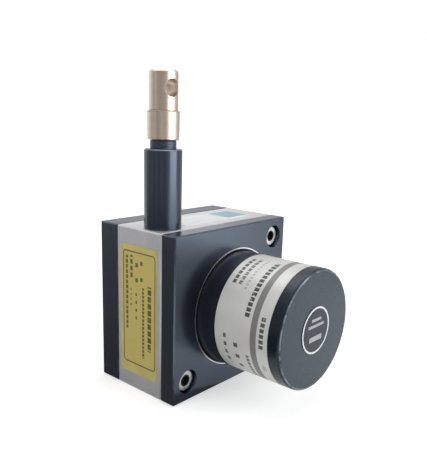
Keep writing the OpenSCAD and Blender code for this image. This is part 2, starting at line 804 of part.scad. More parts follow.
// Stub shaft behind the drum: spigot in the hub, arbor for the spring, journal in the rear bearing
module drum_shaft() {
    color([0.7, 0.7, 0.72]) union() {
        axial(shaft_r, shaft_y1 + 0.3, arbor_y0);
        axial(arbor_r, arbor_y0, arbor_y1 - 0.3);
        axial(ball_at - ball_r + land - 0.1, arbor_y1 - 0.3, arbor_y1);
        axial(shaft_r, arbor_y1, rear_bearing_y + bearing_w - 0.1);
    }
}

module encoder_shaft() {
    groove_y = bearing_a_y + bearing_w + face_gap;
    color([0.75, 0.75, 0.77]) difference() {
        axial(shaft_r, shaft_y0, shaft_y1);
        ring_y(shaft_r + 1, shaft_r - 0.3, groove_y, groove_y + 0.5);
    }
}

module shaft_circlip() {
    y0 = bearing_a_y + bearing_w + face_gap + 0.05;
    color([0.3, 0.3, 0.32]) difference() {
        ring_y(shaft_r + 0.9, shaft_r - 0.25, y0, y0 + 0.4);
        translate([axis_x, y0 - 1, axis_z - 0.8]) cube([shaft_d, 3, 1.6]);
    }
}

// ---------------------------------------------------------------- encoder

// Middle and depth of the seal's groove
seal_y = flange_y0 - 1.5;
seal_depth = 0.9;
seal_wire_r = seal_depth * 0.4;
module encoder_flange() {
    color([0.1, 0.1, 0.12]) difference() {
        union() {
            axial(enc_r, flange_y0, flange_y1);
            axial(pilot_d / 2, flange_y1 - 1, pilot_y1);
            axial(cover_in_r - seat_gap, register_y0, flange_y0 + 1);
        }
        axial(bearing_d / 2 + seat_gap, bearing_a_y, pilot_y1 + 1);
        axial(bearing_d / 2 + seat_gap, register_y0 - 1, bearing_b_y + bearing_w);
        axial(bearing_d / 2 - 1, register_y0, pilot_y1);
        // groove for the seal
        ring_y(cover_in_r + 1, cover_in_r - seal_depth, seal_y - seal_depth / 2, seal_y + seal_depth / 2);
        around(3, enc_screw_r, 90)
            rod_y(enc_screw_d / 2 + thread_gap, flange_y1 - enc_screw_grip - tip_gap, flange_y1 + 1);
    }
}

module encoder_cover() {
    start = face_gap - flange_y0;
    round_at = [enc_r - enc_round, -end_y0 - enc_round];
    color([0.12, 0.12, 0.14]) difference() {
        union() {
            translate([axis_x, 0, axis_z]) rotate([90, 0, 0]) rotate_extrude() polygon(concat(
                [[0, start], [label_r, start], [label_r, -end_y1], [enc_r, -end_y1]],
                [for (a = [0 : 15 : 90]) round_at + enc_round * [cos(a), sin(a)]],
                [[0, -end_y0]]
            ));
            translate([axis_x, gland_y, axis_z]) rotate([0, 90, 0])
                cylinder(d = gland_collar_d + 2 * gland_nut_wall, h = gland_face - axis_x);
        }
        axial(cover_in_r, end_y0 + enc_wall, flange_y0 + 1);
        translate([axis_x, gland_y, axis_z]) rotate([0, 90, 0])
            cylinder(d = gland_d + 2 * thread_gap, h = enc_d);
    }
}

module cover_seal() {
    color([0.08, 0.08, 0.08]) translate([axis_x, seal_y, axis_z]) rotate([90, 0, 0])
        rotate_extrude() translate([cover_in_r - seal_wire_r - 0.01, 0]) circle(r = seal_wire_r, $fn = 24);
}

// Printed wrap around the cover; it stops short of the cable gland on both sides
module encoder_label() {
    reach = 2 * enc_d;
    color([0.8, 0.8, 0.79]) difference() {
        ring_y(enc_r, label_r + 0.01, end_y1 + 0.05, flange_y0 - 0.1);
        translate([axis_x, flange_y0 + 1, axis_z]) rotate([90, 0, 0]) linear_extrude(enc_label_l + 2)
            polygon([
                [0, 0], [reach, reach * tan(label_gap_angle)], [reach, -reach * tan(label_gap_angle)]
            ]);
    }
}

module cover_badge() {
    color([0.88, 0.89, 0.9]) axial(badge_d / 2, end_y0 - label_t, end_y0);
}

module encoder_screws() {
    color([0.6, 0.6, 0.62]) around(3, enc_screw_r, 90)
        countersunk(enc_screw_d, mid_y0 - face_gap, flange_y1 - enc_screw_grip, 0, 0);
}

// Hub that carries the code disc: its spigot passes through the disc into the clamp ring
module disc_hub() {
    color([0.8, 0.72, 0.45]) difference() {
        union() {
            axial(disc_hub_d / 2, disc_y1, disc_hub_y1);
            axial(disc_clamp_d / 2, disc_y1, disc_y1 + 3 * clamp_t);
            axial(disc_spigot_r, disc_y0 - clamp_t, disc_y1 + clamp_t);
        }
        axial(shaft_r + seat_gap, shaft_y0 - 1, disc_hub_y1 + 1);
    }
}

module code_disc() {
    color([0.75, 0.85, 0.9, 0.5]) ring_y(disc_r, disc_spigot_r + seat_gap, disc_y0, disc_y1);
}

module disc_clamp() {
    color([0.8, 0.72, 0.45])
        ring_y(disc_clamp_d / 2, disc_spigot_r + seat_gap, disc_y0 - clamp_t, disc_y0);
}

module lamp_block() {
    y0 = disc_y1 + 0.5;
    color([0.2, 0.2, 0.22]) difference() {
        translate([axis_x - block_w / 2, y0, track_z - block_inset])
            cube([block_w, register_y0 - face_gap - y0, block_h]);
        rod_y(lamp_d / 2 + face_gap, y0 - 1, register_y0 + 1, axis_x, track_z);
    }
}

module lamp() {
    color([0.8, 0.35, 0.35, 0.8]) rod_y(lamp_d / 2, disc_y1 + 0.6, register_y0 - face_gap, axis_x, track_z);
}

// A plate t thick from y0, centred on the track
module at_track(w, h, y0, t) {
    translate([axis_x - w / 2, y0, track_z - h / 2]) cube([w, t, h]);
}

module mask_plate() {
    color([0.6, 0.7, 0.75, 0.6])
        at_track(sensor_w + 2 * mask_rim, sensor_h + 2 * mask_rim, mask_y1 - mask_t, mask_t - face_gap);
}

module light_sensor() {
    color([0.15, 0.15, 0.2]) at_track(sensor_w, sensor_h, board_y1 + face_gap, sensor_t - 2 * face_gap);
}

module circuit_board() {
    color([0.1, 0.4, 0.2]) difference() {
        axial(board_r, board_y0, board_y1);
        around(3, post_r, post_turn) rod_y(board_screw_d / 2 + thread_gap, board_y0 - 1, board_y1 + 1);
    }
}

module board_posts() {
    color([0.75, 0.65, 0.35]) around(3, post_r, post_turn) difference() {
        rod_y(post_d / 2, board_y1 + face_gap, register_y0 - face_gap);
        rod_y(board_screw_d / 2 + thread_gap, board_y1 - 1, board_y1 + board_screw_grip + tip_gap);
    }
}

module board_screws() {
    color([0.7, 0.7, 0.72]) around(3, post_r, post_turn) difference() {
        union() {
            rod_y(board_screw_d / 2, board_y0 - board_screw_head_h / 2, board_y1 + board_screw_grip);
            rod_y(board_screw_d * 0.9, board_y0 - board_screw_head_h, board_y0 - seat_gap);
        }
        hex_y(board_screw_d * 0.7, board_y0 - 2, board_y0 - board_screw_head_h * 0.4, 0, 0);
    }
}

// A block on the back of the board, from its lower left corner at [x, z] and [width, height, thickness]
module on_board(at, size, y1) {
    translate([axis_x + at[0], y1 - size[2], axis_z + at[1]]) cube([size[0], size[2], size[1]]);
}

module board_chips() {
    color([0.12, 0.12, 0.13]) for (chip = chips) on_board(chip[0], chip[1], board_y0 - face_gap);
}

module wire_header() {
    wall = [header_wall, header_wall];
    y1 = board_y0 - face_gap;
    color([0.92, 0.9, 0.84]) difference() {
        on_board(header_at, header_size, y1);
        on_board(header_at + wall, header_size - 2 * [header_wall, header_wall, 0], y1 - header_wall);
    }
}

// ---------------------------------------------------------------- cable inlet

module along_gland() {
    translate([gland_face, gland_y, axis_z]) rotate([0, 90, 0]) children();
}

gland_stem_l = gland_face - axis_x - cover_in_r;
gland_top = gland_collar_h + gland_thread_h;
gland_bore_d = gland_d - 1.4;
insert_z = 0.5;
module cable_gland() {
    color([0.75, 0.76, 0.78]) along_gland() difference() {
        union() {
            translate([0, 0, -gland_stem_l]) cylinder(d = gland_d, h = gland_stem_l + gland_top);
            translate([0, 0, seat_gap]) cylinder(d = gland_collar_d, h = gland_collar_h, $fn = 6);
        }
        translate([0, 0, -2 * gland_stem_l]) cylinder(d = cable_d + 2 * cable_gap, h = 3 * gland_stem_l);
        translate([0, 0, insert_z]) cylinder(d = gland_bore_d, h = 2 * gland_top);
    }
}

module gland_insert() {
    color([0.1, 0.1, 0.1]) along_gland() difference() {
        translate([0, 0, insert_z + face_gap])
            cylinder(d = gland_bore_d - 0.1, h = gland_top + 0.1 - insert_z);
        cylinder(d = cable_d, h = 2 * gland_top);
    }
}

module gland_nut() {
    z0 = gland_collar_h + 2 * face_gap;
    color([0.75, 0.76, 0.78]) along_gland() difference() {
        translate([0, 0, z0]) cylinder(d1 = gland_nut_d, d2 = gland_nut_d - gland_nut_wall, h = gland_nut_h);
        cylinder(d = gland_d + 2 * thread_gap, h = gland_top + 0.2);
        cylinder(d = cable_d + 2 * cable_gap, h = z0 + 2 * gland_nut_h);
    }
}

// ---------------------------------------------------------------- labels

module side_label() {
    color([0.86, 0.76, 0.36]) translate([-body_w / 2, 0, body_h / 2]) rotate([90, 0, -90])
        round_sheet(side_label_w, side_label_h, label_round, label_t);
}

module top_label() {
    x0 = tube_x + tube_d / 2 + top_label_gap;
    color([0.85, 0.9, 0.93]) translate([x0 + top_label_w / 2, 0, body_h])
        round_sheet(top_label_w, top_label_d, label_round, label_t);
}

// ---------------------------------------------------------------- wire end

nut_z = neck_top + face_gap;
nut_top = nut_z + nut_h;
eye_top = nut_top + eye_h;
chamber_z = nut_z + 2;
spigot_z = chamber_z + ferrule_l + 0.4;
spigot_r = 3;

module collar_nut() {
    r = nut_d / 2;
    b = brass_bevel;
    color([0.82, 0.7, 0.42]) turned_at_outlet([
        [wire_r + 0.4, nut_z], [r - b, nut_z], [r, nut_z + b], [r, nut_top - b / 2], [r - b / 2, nut_top],
        [spigot_r + thread_gap, nut_top], [spigot_r + thread_gap, spigot_z],
        [ferrule_d / 2 + 0.1, spigot_z], [ferrule_d / 2 + 0.1, chamber_z], [wire_r + 0.4, chamber_z]
    ]);
}

module wire_eye() {
    r = eye_d / 2;
    color([0.82, 0.7, 0.42]) difference() {
        turned_at_outlet([
            [0, spigot_z + face_gap], [spigot_r, spigot_z + face_gap], [spigot_r, nut_top + face_gap],
            [r, nut_top + face_gap], [r, eye_top - brass_bevel], [r - brass_bevel, eye_top], [0, eye_top]
        ]);
        translate([tube_x, tube_y, eye_top - eye_hole_drop]) rotate([90, 0, -eye_turn])
            translate([0, 0, -eye_d]) cylinder(d = eye_hole_d, h = 2 * eye_d);
    }
}

module wire_ferrule() {
    r = ferrule_d / 2;
    hole = wire_r + 0.03;
    color([0.78, 0.5, 0.3]) turned_at_outlet([
        [hole, chamber_z + face_gap], [r - 0.2, chamber_z + face_gap], [r, chamber_z + face_gap + 0.2],
        [r, chamber_z + ferrule_l - 0.2], [r - 0.2, chamber_z + ferrule_l], [hole, chamber_z + ferrule_l]
    ]);
}

// The free length of the wire at rest: straight up off the drum until it is clear of the turns,
// slanting from there to the guide bush, then straight up
module draw_wire() {
    sides = 12;
    clear_h = sqrt(pow(pitch_r, 2) - pow(pitch_r - 1.3 * wire_d, 2));
    route = [
        [tube_x, lay_y0, axis_z + 0.1], [tube_x, lay_y0, axis_z + clear_h],
        [tube_x, tube_y, foot_z], [tube_x, tube_y, chamber_z + ferrule_l - 0.1]
    ];
    points = [
        for (at = route) for (k = [0 : sides - 1])
            at + wire_r * [cos(360 * k / sides), sin(360 * k / sides), 0]
    ];
    color([0.6, 0.61, 0.63])
        polyhedron(points = points, faces = tube_faces(len(route), sides), convexity = 4);
}

rear_plate();
drum_housing();
front_plate();
plate_screws();
outlet_tube();
wire_nozzle();
felt_wiper();
guide_bush();
spring_cup();
spring_cover();
spring_pin();
cup_screws();
power_spring();
drum_bearing_outer();
side_label();
top_label();
encoder_flange();
encoder_cover();
cover_seal();
encoder_label();
cover_badge();
encoder_screws();
front_bearing_outer();
back_bearing_outer();
lamp_block();
lamp();
mask_plate();
light_sensor();
circuit_board();
board_posts();
board_screws();
board_chips();
wire_header();
cable_gland();
gland_insert();
gland_nut();
wire_drum();
drum_shaft();
grub_screws();
wound_wire();
wire_anchor();
encoder_shaft();
disc_hub();
code_disc();
disc_clamp();
shaft_circlip();
drum_bearing_inner();
front_bearing_inner();
back_bearing_inner();
bearing_balls();
bearing_cages();
wire_eye();
collar_nut();
wire_ferrule();
draw_wire();
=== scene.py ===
"""Draw wire encoder: its finishes, printed labels, draw wire and studio stage.

Lengths inside the finishes are millimetres in the model's own frame; Blender's units stay metres."""

import json
import math

import bpy
from bpy.props import FloatProperty, FloatVectorProperty, IntProperty, PointerProperty
from mathutils import Matrix, Vector

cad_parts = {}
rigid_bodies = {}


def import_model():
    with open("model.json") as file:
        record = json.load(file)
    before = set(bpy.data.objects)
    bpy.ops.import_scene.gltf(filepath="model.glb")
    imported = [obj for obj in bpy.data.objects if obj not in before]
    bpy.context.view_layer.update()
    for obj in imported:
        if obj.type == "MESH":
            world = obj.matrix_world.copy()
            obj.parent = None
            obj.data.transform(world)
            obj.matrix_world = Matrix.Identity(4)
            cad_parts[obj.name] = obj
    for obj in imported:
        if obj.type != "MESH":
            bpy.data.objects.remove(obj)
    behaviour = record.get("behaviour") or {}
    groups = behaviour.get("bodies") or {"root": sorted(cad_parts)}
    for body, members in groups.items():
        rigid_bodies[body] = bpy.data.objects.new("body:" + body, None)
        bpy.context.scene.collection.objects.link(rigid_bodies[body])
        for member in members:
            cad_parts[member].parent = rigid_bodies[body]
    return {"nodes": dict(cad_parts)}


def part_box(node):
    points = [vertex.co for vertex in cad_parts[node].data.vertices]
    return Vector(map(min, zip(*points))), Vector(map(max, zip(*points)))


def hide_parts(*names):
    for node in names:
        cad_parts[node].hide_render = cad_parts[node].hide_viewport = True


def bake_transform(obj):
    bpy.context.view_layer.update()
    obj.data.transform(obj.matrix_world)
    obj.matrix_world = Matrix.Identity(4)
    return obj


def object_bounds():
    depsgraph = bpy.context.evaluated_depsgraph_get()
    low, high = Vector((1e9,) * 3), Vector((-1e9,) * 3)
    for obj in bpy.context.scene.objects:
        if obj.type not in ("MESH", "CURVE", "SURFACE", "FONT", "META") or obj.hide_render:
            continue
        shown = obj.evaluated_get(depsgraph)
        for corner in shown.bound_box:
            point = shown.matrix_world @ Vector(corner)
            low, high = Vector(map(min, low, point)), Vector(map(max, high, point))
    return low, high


bl_info = {
    "name": "Draw Wire Encoder",
    "version": (1, 0, 0),
    "blender": (4, 5, 0),
    "location": "3D View > Sidebar > Wire Encoder",
    "description": "Finishes, labels, draw wire and studio stage of a draw wire encoder",
    "category": "Object",
}

for leftover in list(bpy.data.objects):
    bpy.data.objects.remove(leftover)
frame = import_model()
CAD_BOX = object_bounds()
MM = 1000.0


def corners(node):
    """Lowest and highest corner of a CAD node, in millimetres."""
    low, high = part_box(node)
    return low * MM, high * MM


def middle(node):
    """Centre of a CAD node's box, in millimetres."""
    low, high = corners(node)
    return (low + high) / 2


DEGREE = math.pi / 180
FULL_TURN = 2 * math.pi

# Places and sizes that several finishes share, in millimetres
ENCODER_AXIS = middle("encoder_flange")
ENCODER_R = (corners("encoder_flange")[1].z - corners("encoder_flange")[0].z) / 2
TUBE_AXIS = middle("outlet_tube")
SEAT_GAP = 0.25
SEAT_BEVEL = 0.45
SCREW_HEAD_R = 3.5
WIRE_R = 0.3
# how far the middle of the wound wire lies from the drum's axis
LAY_R = 21.7

# How strongly a plain surface reflects
PLAIN_IOR = 1.5

# Colours of print, wear and shade, some of them painted shade, highlight and reflection
BROWN_INK = (0.075, 0.055, 0.022)
FRAME_GREY = (0.45, 0.48, 0.50)
PRINT_WHITE = (0.74, 0.77, 0.79)
# painted shade in the plate screws' sockets and in the grooves of their knurls
PAINTED_SOCKET_SHADE = (0.008, 0.008, 0.010)
PAINTED_KNURL_SHADE = (0.05, 0.05, 0.055)
FACE_SLATE = (0.003, 0.014, 0.024)
# partly wear and partly a painted highlight on the cover's rim
WORN_AND_HIGHLIT_SLATE = (0.22, 0.26, 0.29)
# partly tarnished brass and partly painted reflection bands on the brass end
TARNISH_AND_REFLECTION_BAND = (0.46, 0.37, 0.31)
JOINT_SHADE = (0.34, 0.27, 0.21)
BRIGHT_BRASS = (0.86, 0.76, 0.62)
# what is left of the yellow film's red, green and blue inside its frame line
GOLDEN_SHARE = (1.0, 0.95, 0.84)


# ---------------------------------------------------------------- values that a user may change

class WireEncoderSizes(bpy.types.PropertyGroup):
    blast_grain: FloatProperty(name="Blast grain", description="Size of the blasted grain under the anodising",
                               default=0.00022, min=0.00005, max=0.001, unit="LENGTH", precision=5)
    edge_wear: FloatProperty(name="Edge wear", description="Width of the rubbed edges of the anodised plates",
                             default=0.00032, min=0.0, max=0.002, unit="LENGTH", precision=5)
    turning_pitch: FloatProperty(name="Turning pitch", description="Distance between tool marks on turned parts",
                                 default=0.00035, min=0.0001, max=0.001, unit="LENGTH", precision=5)
    ring_width: FloatProperty(name="Seat ring", description="Width of the bare ring round the encoder's seat",
                              default=0.00085, min=0.0, max=0.002, unit="LENGTH", precision=5)
    wire_lay: FloatProperty(name="Wire lay", description="Length in which a strand of the draw wire turns once",
                            default=0.0042, min=0.002, max=0.01, unit="LENGTH", precision=4)
    wire_strands: IntProperty(name="Strands", description="Outer strands of the draw wire", default=7, min=5, max=12)
    badge_ring: FloatProperty(name="Badge ring", description="Width of the printed ring on the badge",
                              default=0.0006, min=0.0002, max=0.002, unit="LENGTH", precision=4)


class WireEncoderColours(bpy.types.PropertyGroup):
    black_anodise: FloatVectorProperty(name="Black anodise", description="Plates and outlet tube",
                                       subtype="COLOR", default=(0.005, 0.0055, 0.010), min=0, max=1)
    clear_anodise: FloatVectorProperty(name="Clear anodise", description="Drum housing",
                                       subtype="COLOR", default=(0.65, 0.65, 0.665), min=0, max=1)
    bare_alloy: FloatVectorProperty(name="Bare aluminium", description="Rubbed edges and cut rings",
                                    subtype="COLOR", default=(0.82, 0.83, 0.85), min=0, max=1)
    moulded_black: FloatVectorProperty(name="Moulded black", description="Encoder cover and badge",
                                       subtype="COLOR", default=(0.005, 0.006, 0.010), min=0, max=1)
    flange_black: FloatVectorProperty(name="Flange black", description="Encoder flange",
                                      subtype="COLOR", default=(0.011, 0.0115, 0.018), min=0, max=1)
    brass: FloatVectorProperty(name="Brass", description="Wire end and brass inner parts",
                               subtype="COLOR", default=(0.71, 0.60, 0.49), min=0, max=1)
    yellow_film: FloatVectorProperty(name="Yellow film", description="Side label",
                                     subtype="COLOR", default=(0.62, 0.53, 0.17), min=0, max=1)
    white_film: FloatVectorProperty(name="White film", description="Top label",
                                    subtype="COLOR", default=(0.86, 0.88, 0.89), min=0, max=1)
    blue_patch: FloatVectorProperty(name="Blue patch", description="Patch at the end of the top label",
                                    subtype="COLOR", default=(0.24, 0.42, 0.52), min=0, max=1)
    silver_film: FloatVectorProperty(name="Silver film", description="Encoder label",
                                     subtype="COLOR", default=(0.72, 0.72, 0.70), min=0, max=1)
    grey_band: FloatVectorProperty(name="Grey band", description="Band on the encoder label",
                                   subtype="COLOR", default=(0.24, 0.235, 0.225), min=0, max=1)
    cold_gloss: FloatVectorProperty(name="Cold gloss", description="Tint of what the black parts reflect",
                                    subtype="COLOR", default=(0.64, 0.78, 1.0), min=0, max=1)
    ink: FloatVectorProperty(name="Ink", description="Dark print on the labels",
                             subtype="COLOR", default=(0.03, 0.03, 0.032), min=0, max=1)


class WireEncoderStage(bpy.types.PropertyGroup):
    front_box: FloatProperty(name="Front softbox", description="Brightness of the standing softbox", default=3.4, min=0)
    top_box: FloatProperty(name="Top softbox", description="Brightness of the softbox overhead", default=1.6, min=0)
    side_box: FloatProperty(name="Side softbox", description="Brightness of the softbox on the left",
                            default=2.2, min=0)
    room: FloatProperty(name="Room light", description="Strength of the even light all round", default=0.27, min=0)
    curtain: FloatProperty(name="Grey curtain", description="Grey that reflections see round the part",
                           default=0.5, min=0)
    lens: FloatProperty(name="Lens", description="Focal length of the camera", default=45.6, min=10, unit="CAMERA")


def sizes():
    return bpy.context.scene.wire_encoder_sizes


def colours():
    return bpy.context.scene.wire_encoder_colours


# ---------------------------------------------------------------- materials

class Value:
    """A socket of a material. Operators on a number socket add Math nodes."""

    def __init__(self, finish, socket):
        self.finish = finish
        self.socket = socket

    def output(self, key):
        """Another output of the same node."""
        return Value(self.finish, self.socket.node.outputs[key])

    def math(self, operation, first, second=0.0):
        """The result of a Math node on two values, of which either may be a socket."""
        return self.finish.node("ShaderNodeMath", {"operation": operation}, {0: first, 1: second})

    def __add__(self, other):
        return self.math("ADD", self, other)

    def __radd__(self, other):
        return self.math("ADD", other, self)

    def __sub__(self, other):
        return self.math("SUBTRACT", self, other)

    def __rsub__(self, other):
        return self.math("SUBTRACT", other, self)

    def __mul__(self, other):
        return self.math("MULTIPLY", self, other)

    def __rmul__(self, other):
        return self.math("MULTIPLY", other, self)

    def __mod__(self, other):
        return self.math("FLOORED_MODULO", self, other)

    def __abs__(self):
        return self.math("ABSOLUTE", self)

    def __lt__(self, other):
        return self.math("LESS_THAN", self, other)

    def __gt__(self, other):
        return self.math("GREATER_THAN", self, other)


def least(first, second):
    return first.math("MINIMUM", first, second)


def most(first, second):
    return first.math("MAXIMUM", first, second)


def sine(angle):
    return angle.math("SINE", angle)


def length(across, up):
    """Distance from the origin of a point given by two numbers."""
    return across.math("SQRT", across * across + up * up)


def bearing(up, across):
    """Angle of a point given by two numbers, in degrees from 0 to 360."""
    return across.math("ARCTAN2", up, across) * (180 / math.pi) % 360.0


def rgba(colour):
    return (*colour[:3], 1.0)


class Finish:
    """A procedural material, or the world, built node by node."""

    def __init__(self, owner):
        owner.use_nodes = True
        self.owner = owner
        self.tree = owner.node_tree
        self.tree.nodes.clear()
        self.places = None

    def node(self, kind, settings=None, inputs=None, output=0):
        """Adds a node with its settings, then the values or links of its sockets, and returns one output."""
        made = self.tree.nodes.new(kind)
        for key, value in (settings or {}).items():
            setattr(made, key, value)
        for key, value in (inputs or {}).items():
            if isinstance(value, Value):
                self.tree.links.new(value.socket, made.inputs[key])
            else:
                made.inputs[key].default_value = value
        return Value(self, made.outputs[output]) if made.outputs else None

    @property
    def place(self):
        """The point in the model's frame, in millimetres."""
        if self.places is None:
            point = self.node("ShaderNodeTexCoord", output="Object")
            self.places = self.node("ShaderNodeVectorMath", {"operation": "SCALE"}, {0: point, "Scale": MM})
        return self.places

    def xyz(self):
        """The point's three numbers, in millimetres."""
        split = self.node("ShaderNodeSeparateXYZ", None, {0: self.place})
        return split, split.output(1), split.output(2)

    def noise(self, size, detail=2.0, along=(1, 1, 1)):
        """Noise about 0.5 whose marks are about size millimetres, times along in each direction."""
        spread = self.node("ShaderNodeVectorMath", {"operation": "DIVIDE"},
                           {0: self.place, 1: tuple(size * part for part in along)})
        return self.node("ShaderNodeTexNoise", None, {"Vector": spread, "Scale": 1.0, "Detail": detail})

    def step(self, value, start, end):
        """0 before start, 1 after end, and smooth between."""
        return self.node("ShaderNodeMapRange", {"interpolation_type": "SMOOTHSTEP"}, {0: value, 1: start, 2: end})

    def inside(self, value, low, high, soft=0.06):
        """1 from low to high, with soft ends."""
        return self.step(value, low - soft, low + soft) * (1 - self.step(value, high - soft, high + soft))

    def mix(self, share, first, second):
        """A colour between two colours."""
        first = first if isinstance(first, Value) else rgba(first)
        second = second if isinstance(second, Value) else rgba(second)
        return self.node("ShaderNodeMix", {"data_type": "RGBA"}, {0: share, 6: first, 7: second}, output=2)

    def bump(self, height, depth):
        """A normal from a height of 0 to 1 that is depth millimetres deep."""
        return self.node("ShaderNodeBump", None, {"Height": height, "Distance": depth / MM})

    def surface(self, inputs):
        """Ends the material with a Principled shader that has these sockets."""
        shader = self.node("ShaderNodeBsdfPrincipled", None, inputs)
        self.node("ShaderNodeOutputMaterial", None, {"Surface": shader})
        return self.owner


def new_finish(name):
    return Finish(bpy.data.materials.new(name))


def layer(mask, colour=None, metallic=None, roughness=None):
    """What a layer changes where its mask is 1; None leaves a value as it is."""
    return mask, colour, metallic, roughness


def layered(finish, colour, metallic, roughness, layers, extra=None):
    """A surface with layers over it, in their order, and extra sockets by name."""
    for mask, tint, metal, rough in layers:
        if tint is not None:
            colour = finish.mix(mask, colour, tint)
        if metal is not None:
            metallic = metallic * (1 - mask) + mask * metal
        if rough is not None:
            roughness = roughness * (1 - mask) + mask * rough
    inputs = {"Base Color": colour if isinstance(colour, Value) else rgba(colour),
              "Metallic": metallic, "Roughness": roughness}
    inputs.update(extra or {})
    return finish.surface(inputs)


def use(material, *nodes):
    """Gives CAD nodes this material in each of their slots."""
    for name in nodes:
        piece = frame["nodes"][name]
        if not piece.material_slots:
            piece.data.materials.append(material)
        for slot in piece.material_slots:
            slot.material = material


def cold(ior=PLAIN_IOR):
    """Sockets of a black part that reflects a little blue."""
    return {"IOR": ior, "Specular Tint": rgba(colours().cold_gloss)}


def scaled(colour, share):
    return tuple(min(1, part * share) for part in colour)


def mottled(finish, colour, noise, start, dark, light):
    """The colour from dark to light times itself, as the noise rises from start to 1 - start."""
    return finish.mix(finish.step(noise, start, 1 - start), scaled(colour, dark), scaled(colour, light))


def off_encoder_axis(x, z):
    """How far a point lies from the encoder's axis."""
    return length(x - ENCODER_AXIS.x, z - ENCODER_AXIS.z)


def round_encoder(x, z):
    """Where a point lies round the encoder's axis, in degrees: 0 on the right, 90 on top."""
    return bearing(z - ENCODER_AXIS.z, x - ENCODER_AXIS.x)


def off_tube_axis(x, y):
    """How far a point lies from the outlet tube's axis."""
    return length(x - TUBE_AXIS.x, y - TUBE_AXIS.y)


def box_edge(finish, low, high):
    """Distance of a box's surface point from the box's nearest edge, in millimetres."""
    x, y, z = finish.xyz()
    across = least(x - low.x, high.x - x)
    deep = least(y - low.y, high.y - y)
    up = least(z - low.z, high.z - z)
    return most(least(across, deep), least(most(across, deep), up))


def rubbed(finish, edge, width):
    """1 where an edge at this distance is rubbed, in uneven patches."""
    uneven = finish.noise(4.0, 2.0)
    return (1 - finish.step(edge, width * 0.3, width * 1.3)) * finish.step(uneven, 0.36, 0.62)


def card(finish, across, up, half_across, half_up, corner):
    """Signed distance from the outline of a rounded rectangle about the origin, in millimetres."""
    side = abs(across) - (half_across - corner)
    rise = abs(up) - (half_up - corner)
    outer = length(most(side, 0.0), most(rise, 0.0))
    return outer + least(most(side, rise), 0.0) - corner


def print_row(finish, along, start, end, beside, middle_line, width, pitch, fill):
    """A generic printed row: a line of plain dashes with no lettering."""
    soft = 0.08
    row = finish.inside(along, start, end) * finish.inside(beside, middle_line - width / 2, middle_line + width / 2)
    worn = finish.noise(1.1, 1.0)
    dash = 1 - finish.step(along % pitch, pitch * fill - soft, pitch * fill + soft)
    return row * dash * finish.step(worn, 0.2, 0.4)


def anodised(name, node, colour, metallic=0.0, roughness=0.3, ior=PLAIN_IOR, layers=None):
    """Blasted and anodised aluminium plate with rubbed edges. layers(finish) gives more layers."""
    finish = new_finish(name)
    low, high = corners(node)
    grain = finish.noise(sizes().blast_grain * MM, 1.0)
    cloud = finish.noise(9.0, 3.0)
    shade = mottled(finish, colour, cloud, 0.35, dark=0.95, light=1.05)
    wear = rubbed(finish, box_edge(finish, low, high), sizes().edge_wear * MM)
    extra = {"Normal": finish.bump(grain, 0.006)}
    extra.update(cold(ior) if ior > PLAIN_IOR else {"IOR": ior})
    marks = [layer(wear * 0.14, colours().bare_alloy[:], metallic=0.95, roughness=0.34)]
    marks += layers(finish) if layers else []
    return layered(finish, shade, metallic, roughness + (grain - 0.5) * 0.10 + (cloud - 0.5) * 0.05, marks, extra)


def turned(name, colour, centre, axis, metallic=1.0, roughness=0.3, depth=0.004, sockets=None, layers=None):
    """Turned metal with fine tool marks round an axis, which is 'y' or 'z'. layers(finish) gives more layers."""
    finish = new_finish(name)
    x, y, z = finish.xyz()
    upright = axis == "z"
    along = z if upright else y
    radius = length(x - centre.x, y - centre.y) if upright else length(x - centre.x, z - centre.z)
    drift = finish.noise(0.9, 2.0, (6, 6, 0.12) if upright else (6, 0.12, 6))
    smear = finish.noise(3.0, 3.0)
    pitch = sizes().turning_pitch * MM
    marks = sine((along + radius) * (FULL_TURN / pitch) + drift * 5.0) * 0.5 + 0.5
    shade = mottled(finish, colour, drift, 0.3, dark=0.93, light=1.06)
    more = layers(finish) if layers else []
    extra = {"Normal": finish.bump(marks * 0.6 + drift * 0.4, depth)}
    extra.update(sockets or {})
    return layered(finish, shade, metallic, roughness + (smear - 0.5) * 0.12 + (drift - 0.5) * 0.08, more, extra)


def grained(name, colour, grain, depth, metallic=0.0, roughness=0.3, spread=0.12, sockets=None, layers=None):
    """A moulded, cast, pressed or sheet material with grain of this size and depth in millimetres."""
    finish = new_finish(name)
    fine = finish.noise(grain, 2.0)
    broad = finish.noise(grain * 14, 3.0)
    shade = mottled(finish, colour, broad, 0.32, dark=1 - spread, light=1 + spread)
    more = layers(finish) if layers else []
    extra = {"Normal": finish.bump(fine, depth)}
    extra.update(sockets or {})
    return layered(finish, shade, metallic, roughness + (fine - 0.5) * 0.12 + (broad - 0.5) * 0.06, more, extra)


# ---------------------------------------------------------------- operators

class AnodiseBlock(bpy.types.Operator):
    """Finish the three layers of the block"""
    bl_idname = "wire_encoder.anodise_block"
    bl_label = "Anodise block"

    def execute(self, context):
        tint = colours()
        front = corners("front_plate")[0].y

        def seat_ring(finish):
            """The bare ring cut round the encoder's seat."""
            x, y, z = finish.xyz()
            inner = ENCODER_R + SEAT_GAP - 0.05
            ring = finish.inside(off_encoder_axis(x, z), inner, inner + sizes().ring_width * MM, 0.04)
            ring = ring * (1 - finish.step(y, front + SEAT_BEVEL, front + SEAT_BEVEL + 0.1))
            return [layer(ring, tint.bare_alloy[:], metallic=1.0, roughness=0.30)]

        black = tint.black_anodise[:]
        use(anodised("black_front_plate", "front_plate", black, roughness=0.24, ior=2.2, layers=seat_ring),
            "front_plate")
        use(anodised("black_rear_plate", "rear_plate", black, roughness=0.34, ior=1.9), "rear_plate")
        use(anodised("clear_housing", "drum_housing", tint.clear_anodise[:], metallic=0.5, roughness=0.38),
            "drum_housing")
        return {"FINISHED"}


